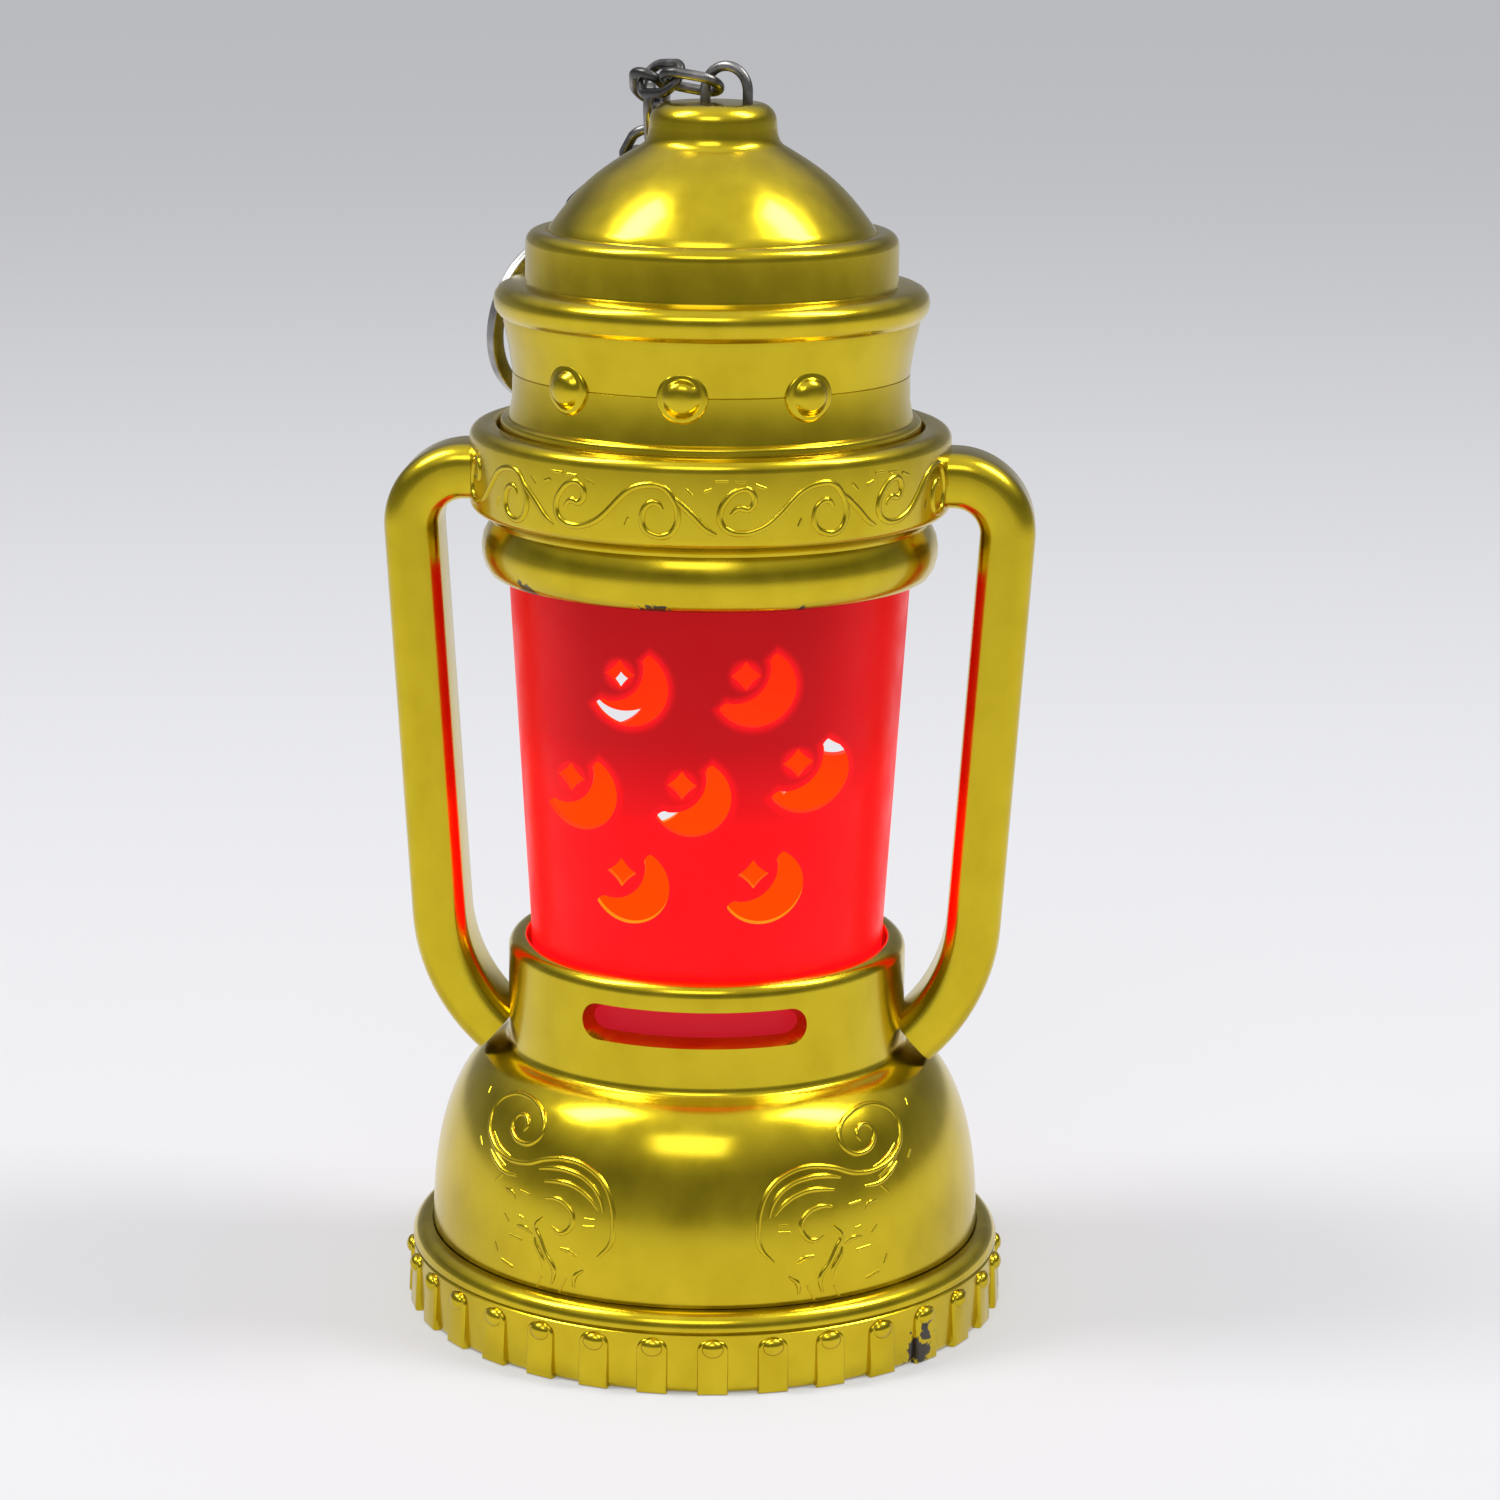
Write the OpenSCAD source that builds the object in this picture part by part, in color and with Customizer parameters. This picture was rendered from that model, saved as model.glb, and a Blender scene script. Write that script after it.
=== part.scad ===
// Small battery lantern of the Ramadan fanous kind, with a metal-look plastic frame,
// a pierced translucent sleeve lit from below, a slide switch and a hanging chain.
// Millimetres. +Z is up, the table is z = 0, the slotted front faces -Y, the arms lie along X.

/* [Base cover] */
// Diameter over the ribs of the base cover
base_d = 48; // [46:0.5:50]
// Height of the base cover's outer wall
skirt_h = 6.2; // [5.8:0.1:7]
// Number of ribs round the base cover
rib_count = 32; // [24:1:36]
// How far a rib stands out from the wall
rib_depth = 0.45; // [0.3:0.05:0.6]
// Height of a rib
rib_h = 4.3; // [3.6:0.1:4.5]
// Radius of the bead at the head of each rib
bead_r = 0.62; // [0.4:0.02:0.8]
// Thickness of the underside plate
plate_t = 1.4; // [1.2:0.1:1.6]
// Height of the underside plate above the table
plate_lift = 1.2; // [1:0.1:1.4]

/* [Frame] */
// How far the bell's foot stands in from the ribs
bell_in = 2; // [1.5:0.1:2.5]
// Height of the bell
bell_h = 16.1; // [15.6:0.1:17]
// Wall thickness of the bell
bell_wall = 1.4; // [1.2:0.1:1.6]
// Outer diameter of the drum over the bell
drum_d = 31.7; // [31:0.1:32.4]
// Height of the drum
drum_h = 8.5; // [8:0.1:9]
// Wall thickness of the drum
drum_wall = 1.5; // [1.2:0.1:1.7]
// Width of the slot in the drum's front
slot_w = 17.2; // [15:0.1:18]
// Height of the slot
slot_h = 2.7; // [2.2:0.1:3]
// Height of the open window between drum and collar
window_h = 29.3; // [28:0.1:31]
// Diameter of the collar's lower bead
bead_d = 35.7; // [35.2:0.1:36.2]
// Height of the collar's lower bead with the cove over it
bead_h = 5.1; // [4.8:0.1:5.6]
// Diameter of the collar's scroll band
band_d = 37.5; // [37:0.1:38]
// Height of the scroll band
band_h = 6.6; // [6.2:0.1:7]
// Width of an arm seen from the front
arm_w = 4.3; // [4:0.1:4.6]
// Depth of an arm from front to back
arm_d = 7; // [6:0.1:7.6]
// Distance across both arms
arm_span = 50.8; // [50:0.1:51.6]
// Degrees by which an arm leans in towards the drum
arm_lean = 3.6; // [3:0.1:4.2]

/* [Sleeve] */
// Outer diameter of the sleeve where it leaves the collar
sleeve_top_d = 31.5; // [31.2:0.1:31.8]
// Outer diameter of the sleeve at its foot
sleeve_foot_d = 26.9; // [26.4:0.1:27.2]
// Wall thickness of the sleeve
sleeve_wall = 0.9; // [0.8:0.05:1.1]
// Radius of a crescent's outer edge
moon_r = 3.1; // [2.8:0.05:3.2]
// Radius of a crescent's inner edge
moon_bite_r = 2.7; // [2.5:0.05:2.8]
// Half the height of a star
star_r = 1.12; // [0.9:0.02:1.2]

/* [Cap] */
// Height of the waisted neck, with the ring at its foot
neck_h = 8.2; // [7.8:0.1:8.8]
// Diameter of the neck at its waist
neck_waist_d = 30.8; // [30:0.1:31.2]
// Diameter of the neck where it spreads under the flange
neck_head_d = 32.2; // [31.8:0.1:32.6]
// Diameter of the cap's flange bead
flange_d = 33.7; // [33.2:0.1:34.2]
// Height of the flange bead
flange_h = 2.9; // [2.6:0.1:3.2]
// Diameter of the short drum over the flange
crown_d = 28.8; // [28.2:0.1:29.4]
// Height of the short drum
crown_h = 4; // [3.7:0.1:4.4]
// Diameter of the dome at its foot
dome_d = 25.4; // [25:0.1:26]
// Height of the dome
dome_h = 6.9; // [6.5:0.1:7.3]
// Diameter of the knob
knob_d = 9.7; // [9.4:0.1:10]
// Height of the knob
knob_h = 2.7; // [2.5:0.1:3]
// Wall thickness of the cap
cap_wall = 1.4; // [1.2:0.1:1.6]
// Number of studs on each face of the neck
stud_count = 3; // [2:1:4]
// Degrees from one stud to the next
stud_step = 36; // [32:1:38]
// Degrees by which the cap is turned on the collar
cap_turn = -4; // [-6:0.5:6]

/* [Chain] */
// Thickness of the chain's wire
wire_d = 0.8; // [0.7:0.02:0.84]
// Outer length of a link
link_l = 5.2; // [5.1:0.05:5.4]
// Outer width of a link
link_w = 3.5; // [3.4:0.05:3.6]
// Radius of the eye's arch, to the middle of its wire
eye_r = 1.85; // [1.8:0.01:1.9]
// Outer diameter of the split ring
ring_d = 14.2; // [13.6:0.1:14.6]
// Width of the split ring's flat wire
ring_w = 1.2; // [1:0.05:1.2]
// Thickness of the split ring's two turns together
ring_t = 1.2; // [1:0.05:1.2]

/* [Inside] */
// Diameter of a button cell
cell_d = 11.6; // [11.4:0.05:11.6]
// Thickness of a button cell
cell_t = 5.4; // [5.2:0.05:5.4]
// Number of button cells in the row
cell_count = 3; // [3:1:3]
// Distance of the row of cells behind the middle
tray_back = 3.6; // [3.4:0.1:4]
// Diameter of the lamp's lens
led_d = 5; // [4.8:0.1:5.2]
// Height of the lamp's lens
led_h = 8.6; // [8.2:0.1:9]
// Diameter of the round circuit board
board_d = 25; // [24:0.1:26]
// Thickness of the circuit board
board_t = 1; // [0.8:0.1:1.2]
// Travel of the switch
switch_travel = 2; // [1.6:0.1:2.2]
// Diameter of a screw's shank
screw_d = 1.7; // [1.5:0.05:1.9]

/* [Hidden] */
$fn = 64;

// Shared small sizes
over = 1;
fit_gap = 0.1;
run_gap = 0.3;
corner_steps = 4;

// Heights of the outside, from the table up
seat_d = 0.8;
z_plate = plate_lift + plate_t;
z_bell = skirt_h - seat_d;
z_drum = z_bell + bell_h;
z_rim = z_drum + drum_h;
z_collar = z_rim + window_h;
z_band = z_collar + bead_h;
z_collar_top = z_band + band_h;
ring_step_h = 0.5;
z_neck = z_collar_top + ring_step_h;
z_flange = z_collar_top + neck_h;
z_crown = z_flange + flange_h;
z_dome = z_crown + crown_h;
z_knob = z_dome + dome_h;
z_top = z_knob + knob_h;

// Base cover
bell_d = base_d - 2 * bell_in;
wall_r = base_d / 2 - rib_depth;
skirt_wall = 2.1;
lip_in = 0.25;
lip_r = wall_r - lip_in;
lip_round = 0.9;
lip_h = 1.5;
lip_step = 0.3;
rib_w_share = 0.5;
rib_corner = 0.8;
bead_drop = 0.7;
pillar_r = 2.1;
pillar_ring_r = bell_d / 2 - 2 * bell_wall - pillar_r - fit_gap;
screw_turns = [90, 210, 330];
screw_hole_gap = 0.15;
screw_head_r = 1.5;
screw_head_t = 0.7;
screw_l = 7;

// Frame
bell_curve_share = 0.364;
bell_power = 2.4;
bell_steps = 12;
rim_round = 1.1;
slot_z = z_drum + drum_h * 0.58;
ledge_t = 1.2;
ledge_in = 2.2;
sleeve_gap = 0.2;
bore_r = sleeve_top_d / 2 + sleeve_gap;
bore_step = 0.7;
bore_step_h = 1.7;
bead_bulge = 0.9;
cove = 0.5;
band_round = 1;
band_foot_round = 0.4;
arm_outer_round = 1.6;
arm_inner_cut = 0.9;
arm_bend_r = 4.2;
arm_foot_bend_r = 14;
arm_foot_lift = 1.81;
arm_foot_out = 0.83;
arm_top_drop = 3.85;
arm_root = 0.3;

// Sleeve
sleeve_foot_z = z_drum + ledge_t - seat_d;
sleeve_flange_t = 1.2;
sleeve_flange_z = z_collar + bore_step_h;
moon_turn = 135;
moon_tip_turn = 79;
moon_bite_share = 0.677;
star_shares = [-0.203, 0.306];
star_waist_share = 0.56;
moon_side_shares = [-0.325, 0.284, -0.579, -0.02, 0.532, -0.319, 0.323];
moon_height_shares = [0.784, 0.791, 0.484, 0.497, 0.548, 0.248, 0.255];

// Cap
ring_step_r = bore_r + bore_step - fit_gap;
neck_waist_z = 2.1;
flange_bulge = 0.75;
crown_round = 0.9;
dome_groove = 0.2;
dome_bulge = 0.55;
knob_round = 1.1;
knob_crown = 0.15;
knob_fillet = 0.7;
stud_z = z_collar_top + neck_h * 0.5;
stud_r = 1.4;
stud_ring_r = 1.95;
stud_ring_t = 0.4;
stud_h = 0.95;
stud_root = 0.7;

// Chain: the eye's place on the knob, then the lie of each link
eye_shift = 1;
eye_turn = -25;
eye_lift = 0.9;
eye_depth = 1.9;
link_slack = 0.07;
link_mid_l = link_l - wire_d;
link_mid_r = (link_w - wire_d) / 2;
first_azimuth = 172;
first_slope = -8.5;
first_lean = -62;
first_reach = 1.1;
first_lift = 1.27;
link_azimuths = [130, 94, 90, 120, 163, 168, 184];
edge_r = max(dome_d / 2, crown_d / 2 - crown_round);
edge_slope = atan(dome_h / (edge_r - knob_d / 2 - knob_fillet));
link_slope_shares = [0.098, 0.732, 1.465, 0.977, 1.123, 1.001, 1.416];
link_slopes = [for (share = link_slope_shares) share * edge_slope];
link_leans = [36, -64, 3, -82, 47, -37, 50];
hook_shares = [0.85, 0.825, 0.7125, 0.6, 0.6625, 0.5875, 0.65, 0.65];
ring_azimuth = 141;
ring_lean = 11;
ring_back_share = 1.45;

// Inside
wall_t = 1;
tray_gap = 0.25;
contact_t = 0.4;
contact_w = 8;
tray_in_l = cell_count * cell_t + 4 * contact_t;
tray_in_w = cell_d + 2 * tray_gap;
tray_l = tray_in_l + 2 * wall_t;
tray_w = tray_in_w + 2 * wall_t;
cell_lift = 0.4;
tray_h = cell_d + tray_gap + wall_t + cell_lift;
cell_z = z_plate + cell_lift + cell_d / 2;
z_tray = z_plate + tray_h;
standoff_h = 1;
standoff_r = 1.3;
standoff_x = 7;
standoff_y = 3.6;
z_board = z_tray + standoff_h;
z_board_top = z_board + board_t;
holder_in = 1.4;
holder_r = sleeve_foot_d / 2 - holder_in;
holder_t = 1.4;
z_holder = z_drum - seat_d - holder_t;
holder_neck_r = 4.2;
holder_neck_h = 2.6;
holder_leg_r = 1.2;
holder_leg_in = 2.55;
holder_leg_ring_r = holder_r - holder_leg_in;
holder_leg_turns = [30, 150, 270];
led_flange_r = 2.9;
led_flange_t = 1;
led_lead_r = 0.3;
led_lead_x = 1.27;
z_led = z_holder + holder_t + holder_neck_h;
chip_r = 2.6;
chip_h = 1.1;
chip_place_shares = [0.5, -0.42];
resistor_r = 0.65;
resistor_l = 3.2;
resistor_lead_r = 0.25;
resistor_lead_l = 6.4;
resistor_place_shares = [-0.51, -0.43];
cover_slack = 0.4;
cover_l = tray_in_l - cover_slack;
cover_w = tray_in_w - cover_slack;
cover_ear_r = 2.1;
cover_ear_x = 12.6;
cover_ear_t = 0.7;
cover_gap = 0.15;
boss_r = 1.7;
boss_h = 4.2;
switch_place = [0, -9.6];
switch_l = 8.6;
switch_w = 4.4;
switch_h = 3.6;
switch_wall = 0.6;
slider_t = 0.9;
slider_l = 3.4;
slider_stem_l = 2.2;
slider_stem_w = 1.6;
slider_stem_drop = 0.35;
pin_r = 0.3;
pin_pitch = 2.5;
pin_h = 1.6;
cable_r = 0.45;

// Points of a circular arc in a plane
function arc(middle, r, from, to, steps = corner_steps) =
    [for (i = [0:steps]) let (a = from + (to - from) * i / steps) middle + r * [cos(a), sin(a)]];

// Points of a flattened half ellipse that bulges outward by b between two heights
function bulge(r, b, low, high, steps = 2 * corner_steps) =
    [for (i = [0:steps]) let (a = -90 + 180 * i / steps) [r + b * cos(a), (low + high) / 2 + (high - low) / 2 * sin(a)]];

// The bell's outline, a rounded shoulder over a nearly upright wall, drawn in by inset
function bell_side(inset) =
    let (core = bell_d / 2 * (1 - bell_curve_share), reach = bell_d / 2 - core - inset, rise = bell_h - inset)
    [for (i = [0:bell_steps]) let (a = 90 * i / bell_steps)
        [core + reach * pow(cos(a), 2 / bell_power), z_bell + rise * pow(sin(a), 2 / bell_power)]];

module ring_solid(points) rotate_extrude($fn = 96) polygon(points);

module at_each(angles, r) for (a = angles) rotate([0, 0, a]) translate([r, 0, 0]) children();

// Base cover: ribbed skirt, recessed underside plate, screw holes, door opening and switch slot
module base_cover() color("goldenrod") {
    rib_step = 360 / rib_count;
    rib_w = base_d * PI / rib_count * rib_w_share;
    difference() {
        union() {
            ring_solid(concat(
                [[0, plate_lift], [wall_r - skirt_wall, plate_lift], [wall_r - skirt_wall, 0], [wall_r, 0]],
                [[wall_r, skirt_h - lip_h], [lip_r, skirt_h - lip_h + lip_step]],
                arc([lip_r - lip_round, skirt_h - lip_round], lip_round, 0, 90),
                [[bell_d / 2 + fit_gap, skirt_h], [bell_d / 2 + fit_gap, z_bell]],
                [[bell_d / 2 - bell_wall - fit_gap, z_bell], [bell_d / 2 - bell_wall - fit_gap, skirt_h + over]],
                [[bell_d / 2 - 2 * bell_wall, skirt_h + over], [bell_d / 2 - 2 * bell_wall, z_plate], [0, z_plate]]));
            for (i = [0:rib_count - 1]) rotate([0, 0, (i + 0.5) * rib_step - 90]) rib(rib_w);
            for (x = [-1, 1]) translate([x * cover_ear_x, tray_back, z_plate]) cylinder(r = boss_r, h = boss_h);
            cradle();
        }
        translate([0, tray_back, z_plate / 2]) cube([cover_l + 2 * cover_gap, cover_w + 2 * cover_gap, z_plate], center = true);
        for (x = [-1, 1]) translate([x * cover_ear_x, tray_back, 0]) {
            cylinder(r = cover_ear_r + cover_gap, h = plate_lift + cover_ear_t + cover_gap);
            translate([-x * cover_ear_r, 0, 0]) cube([2 * cover_ear_r, 2 * (cover_ear_r + cover_gap),
                2 * (plate_lift + cover_ear_t + cover_gap)], center = true);
            cylinder(r = screw_d / 2 + fit_gap, h = z_plate + boss_h - wall_t);
        }
        translate([switch_place.x + switch_travel / 2, switch_place.y, 0])
            cube([slider_stem_l + switch_travel + 2 * run_gap, slider_stem_w + 2 * run_gap, 4 * z_plate], center = true);
        at_each(screw_turns, pillar_ring_r) cylinder(r = screw_d / 2 + screw_hole_gap, h = z_plate + over);
    }
}

// One rib with rounded lower corners and the bead at its head
module rib(w) translate([0, wall_r, 0]) {
    rotate([90, 0, 0]) translate([0, 0, -rib_depth]) linear_extrude(2 * rib_depth) polygon(concat(
        arc([rib_corner - w / 2, rib_corner], rib_corner, 180, 270),
        arc([w / 2 - rib_corner, rib_corner], rib_corner, 270, 360),
        [[w / 2, rib_h - rib_corner], [0, rib_h], [-w / 2, rib_h - rib_corner]]));
    translate([0, rib_depth, rib_h - bead_drop]) sphere(r = bead_r, $fn = 24);
}

// Low walls on the plate that hold the switch in place
module cradle() translate([switch_place.x, switch_place.y, z_plate]) {
    for (x = [-1, 1]) translate([x * (switch_l + wall_t + 2 * fit_gap) / 2, 0, wall_t / 2])
        cube([wall_t, switch_w, wall_t], center = true);
}

// Frame: collar, two arms, slotted drum and bell, with the pillars that take the base screws
module body_frame() color("gold") {
    difference() {
        union() {
            bell_and_drum();
            collar();
            arm();
            mirror([1, 0, 0]) arm();
            pillars();
        }
        translate([0, 0, slot_z]) rotate([90, 0, 0]) linear_extrude(drum_d) slot_outline();
        at_each(screw_turns, pillar_ring_r) translate([0, 0, z_plate]) cylinder(r = screw_d / 2 + fit_gap / 2, h = screw_l);
    }
}

module slot_outline() {
    half = (slot_w - slot_h) / 2;
    polygon(concat(arc([half, 0], slot_h / 2, -90, 90, 2 * corner_steps),
        arc([-half, 0], slot_h / 2, 90, 270, 2 * corner_steps)));
}

module bell_and_drum() {
    drum_r = drum_d / 2;
    inner_r = drum_r - drum_wall;
    ledge_z = z_drum - seat_d;
    outer = [for (p = bell_side(0)) if (p.x > drum_r) p];
    inner = [for (p = bell_side(bell_wall)) if (p.x > drum_r - 0.1 * drum_wall && p.y < ledge_z - holder_t) p];
    ring_solid(concat(
        outer,
        [[drum_r + lip_step, z_drum], [drum_r, z_drum + lip_step]],
        arc([drum_r - rim_round, z_rim - rim_round], rim_round, 0, 90),
        [[inner_r, z_rim - lip_step], [inner_r, ledge_z + ledge_t], [inner_r - ledge_in, ledge_z + ledge_t]],
        [[inner_r - ledge_in, ledge_z], [drum_r - lip_step, ledge_z]],
        [for (i = [len(inner) - 1:-1:0]) inner[i]]));
}

module collar() {
    ring_solid(concat(
        [[bore_r, z_collar]],
        bulge(bead_d / 2 - bead_bulge, bead_bulge, z_collar, z_band - 2 * cove),
        [[bead_d / 2 - bead_bulge + cove / 2, z_band - cove], [band_d / 2 - band_foot_round, z_band]],
        [[band_d / 2, z_band + band_foot_round]],
        arc([band_d / 2 - band_round, z_collar_top - band_round], band_round, 0, 90),
        [[bore_r + bore_step, z_collar_top], [bore_r + bore_step, z_collar + bore_step_h], [bore_r, z_collar + bore_step_h]]));
}

// An arm's section: flat front and back, cut inner edges, rounder outer edges
module arm_section() polygon(concat(
    [[-arm_w / 2, arm_inner_cut - arm_d / 2], [arm_inner_cut - arm_w / 2, -arm_d / 2]],
    arc([arm_w / 2 - arm_outer_round, arm_outer_round - arm_d / 2], arm_outer_round, -90, 0),
    arc([arm_w / 2 - arm_outer_round, arm_d / 2 - arm_outer_round], arm_outer_round, 0, 90),
    [[arm_inner_cut - arm_w / 2, arm_d / 2], [-arm_w / 2, arm_d / 2 - arm_inner_cut]]));

// The arm on the +X side: stub, shoulder bend, leaning run and foot bend, swept one after another
module arm() {
    bend_x = arm_span / 2 - arm_w / 2 - arm_bend_r;
    bend_z = z_collar_top - arm_top_drop - arm_bend_r;
    stub = bend_x - (bore_r + bore_step + arm_root);
    run = (bend_z - z_rim - arm_foot_lift) / cos(arm_lean);
    foot_bend_x = bend_x + (arm_bend_r - arm_foot_bend_r) * cos(arm_lean) - run * sin(arm_lean);
    foot_turn = acos((drum_d / 2 + arm_foot_out - foot_bend_x) / arm_foot_bend_r) - arm_lean;
    translate([bend_x, 0, bend_z]) rotate([90, 0, 0]) {
        rotate([0, 0, -arm_lean]) rotate_extrude(angle = 90 + arm_lean) arm_turned(arm_bend_r);
        rotate([0, 0, -arm_lean]) translate([arm_bend_r, 0, 0]) rotate([90, 0, 0]) linear_extrude(run) arm_section();
        translate([-stub, arm_bend_r, 0]) rotate([0, 90, 0]) rotate([0, 0, 90]) linear_extrude(stub) arm_section();
        rotate([0, 0, -arm_lean]) translate([arm_bend_r - arm_foot_bend_r, -run, 0])
            rotate([0, 0, -foot_turn]) rotate_extrude(angle = foot_turn) arm_turned(arm_foot_bend_r);
    }
}

module arm_turned(r) translate([r, 0]) arm_section();

// Pillars for the base screws, each tied to the bell's wall by a web above the cover's spigot
module pillars() {
    pillar_h = screw_l + wall_t;
    web_z = skirt_h + over + run_gap;
    intersection() {
        ring_solid(concat([[0, z_plate], [bell_d / 2 - bell_wall, z_plate]],
            [for (p = bell_side(bell_wall / 2)) if (p.x > drum_d / 2) p], [[0, z_drum]]));
        at_each(screw_turns, pillar_ring_r) {
            translate([0, 0, z_plate]) cylinder(r = pillar_r, h = pillar_h);
            translate([0, -wall_t / 2, web_z]) cube([bell_d / 2, wall_t, z_plate + pillar_h - web_z]);
        }
    }
}

// Sleeve: a slightly tapered tube with a flange, pierced straight through front and back
module lamp_sleeve() color("lightcoral") {
    foot_r = sleeve_foot_d / 2;
    neck_r = sleeve_top_d / 2;
    difference() {
        ring_solid([[foot_r, sleeve_foot_z], [neck_r, z_collar], [neck_r, sleeve_flange_z],
            [bore_r + bore_step - fit_gap, sleeve_flange_z], [bore_r + bore_step - fit_gap, sleeve_flange_z + sleeve_flange_t],
            [neck_r - sleeve_wall, sleeve_flange_z + sleeve_flange_t], [neck_r - sleeve_wall, z_collar],
            [foot_r - sleeve_wall, sleeve_foot_z]]);
        for (turn = [0, 180], i = [0:len(moon_side_shares) - 1]) rotate([0, 0, turn])
            translate([moon_side_shares[i] * neck_r, 0, z_rim + moon_height_shares[i] * window_h])
            rotate([90, 0, 0]) linear_extrude(drum_d) { moon(); star(); }
    }
}

// A crescent: a disc with a bite out of it, its two tips cut off blunt
module moon() rotate([0, 0, moon_turn]) difference() {
    circle(r = moon_r);
    translate([moon_bite_share * moon_r, 0]) circle(r = moon_bite_r);
    polygon([[0, 0], for (side = [-1, 1]) 3 * moon_r * [cos(moon_tip_turn), side * sin(moon_tip_turn)]]);
}

module star() translate(moon_r * star_shares) polygon([for (i = [0:7])
    let (r = i % 2 == 0 ? star_r : star_r * star_waist_share) r * [cos(45 * i), sin(45 * i)]]);

// Cap: spigot, waisted neck with studs, flange, short drum, dome and knob, hollow below
module top_cap() color("gold") rotate([0, 0, cap_turn]) {
    difference() {
        union() {
            ring_solid(concat([[0, sleeve_flange_z + sleeve_flange_t]], cap_side(0), [[0, z_top + knob_crown]]));
            at_each([for (face = [-90, 90], i = [0:stud_count - 1]) face + (i - (stud_count - 1) / 2) * stud_step],
                neck_waist_d / 2) translate([0, 0, stud_z]) rotate([0, 90, 0]) stud();
        }
        ring_solid(cap_hollow());
        rotate([0, 0, -cap_turn]) eye_place() for (x = [-1, 1]) translate([x * eye_r, 0, -eye_depth - eye_lift])
            cylinder(r = wire_d / 2 + link_slack / 2, h = eye_depth + over, $fn = 32);
    }
}

// A domed stud on a low round foot, rooted in the neck's wall
module stud() rotate_extrude($fn = 32) polygon(concat([[0, -stud_root]], [[stud_ring_r, -stud_root]],
    [[stud_ring_r, stud_ring_t], [stud_r, stud_ring_t]],
    [for (i = [1:3]) let (a = 22.5 * i) [stud_r * cos(a), stud_ring_t + (stud_h - stud_ring_t) * sin(a)]], [[0, stud_h]]));

function cap_side(inset) = concat(
    [[ring_step_r - inset, sleeve_flange_z + sleeve_flange_t], [ring_step_r - inset, z_neck]],
    [[neck_waist_d / 2 + lip_step, z_neck + lip_step], [neck_waist_d / 2, z_neck + neck_waist_z]],
    [[neck_waist_d / 2 + lip_step, z_neck + 2 * neck_waist_z], [neck_head_d / 2, z_flange]],
    bulge(flange_d / 2 - flange_bulge, flange_bulge, z_flange + dome_groove, z_crown),
    [[crown_d / 2 + lip_step, z_crown + dome_groove], [crown_d / 2, z_crown + lip_step + dome_groove]],
    arc([crown_d / 2 - crown_round, z_dome - crown_round], crown_round, 0, 90),
    [[dome_d / 2, z_dome - dome_groove]],
    dome_arc(dome_d / 2, z_dome, knob_d / 2 + knob_fillet, z_knob),
    [[knob_d / 2 + dome_groove, z_knob + dome_groove], [knob_d / 2, z_knob + knob_fillet]],
    arc([knob_d / 2 - knob_round, z_top - knob_round], knob_round, 0, 90));

// A shallow convex curve between two points of the dome
function dome_arc(r1, z1, r2, z2) = [for (i = [0:2 * corner_steps]) let (t = i / (2 * corner_steps))
    [r1 + (r2 - r1) * t + dome_bulge * sin(180 * t), z1 + (z2 - z1) * t + dome_bulge * sin(180 * t)]];

function cap_hollow() = [[0, sleeve_flange_z], [ring_step_r - cap_wall, sleeve_flange_z],
    [ring_step_r - cap_wall, z_neck], [neck_waist_d / 2 - cap_wall, z_neck + cap_wall],
    [neck_waist_d / 2 - cap_wall, z_flange], [crown_d / 2 - cap_wall, z_crown],
    [crown_d / 2 - cap_wall, z_dome - cap_wall], [dome_d / 2 - cap_wall, z_dome - cap_wall],
    [knob_d / 2, z_knob - cap_wall], [0, z_knob - cap_wall]];

// The place of the eye: its arch stands across the knob, a little off the middle
module eye_place() translate([eye_shift, 0, z_top + eye_lift]) rotate([0, 0, eye_turn]) children();

module hanging_eye() color("dimgray") eye_place() {
    rotate([90, 0, 0]) rotate_extrude(angle = 180) translate([eye_r, 0]) circle(r = wire_d / 2, $fn = 24);
    for (x = [-1, 1]) translate([x * eye_r, 0, -eye_lift - eye_depth + link_slack])
        cylinder(r = wire_d / 2, h = eye_lift + eye_depth - link_slack, $fn = 24);
}

// Chain: each link has an azimuth, a slope below level and a lean about its own length,
// and hooks into the one before at a point a share of the wire's thickness inside its end
function heading(azimuth, slope) = [cos(azimuth) * cos(slope), sin(azimuth) * cos(slope), -sin(slope)];
function link_way(k) = heading(link_azimuths[k], link_slopes[k]);
eye_leg = [eye_shift - eye_r * cos(eye_turn), -eye_r * sin(eye_turn), z_top + first_lift];
first_end = eye_leg - first_reach * heading(first_azimuth, first_slope);
function hook(k) = k == 0
    ? first_end + (link_mid_l - hook_shares[0] * wire_d) * heading(first_azimuth, first_slope)
    : hook(k - 1) + (link_mid_l - (hook_shares[k - 1] + hook_shares[k]) * wire_d) * link_way(k - 1);

module link_at(start, azimuth, slope, lean) color("dimgray")
    translate(start) rotate([0, slope, azimuth]) rotate([lean, 0, 0]) wire_loop();

// A link's round-ended wire loop, starting at the origin and running along +X in the XZ plane
module wire_loop() {
    straight = link_mid_l - 2 * link_mid_r;
    rotate([90, 0, 0]) {
        translate([link_mid_r, 0, 0]) rotate([0, 0, 90]) rotate_extrude(angle = 180) link_wire();
        translate([link_mid_r + straight, 0, 0]) rotate([0, 0, -90]) rotate_extrude(angle = 180) link_wire();
    }
    for (z = [-1, 1]) translate([link_mid_r, 0, z * link_mid_r]) rotate([0, 90, 0])
        cylinder(r = wire_d / 2, h = straight, $fn = 24);
}

module link_wire() translate([link_mid_r, 0]) circle(r = wire_d / 2, $fn = 24);

module later_link(k)
    link_at(hook(k) - hook_shares[k] * wire_d * link_way(k), link_azimuths[k], link_slopes[k], link_leans[k]);

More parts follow.
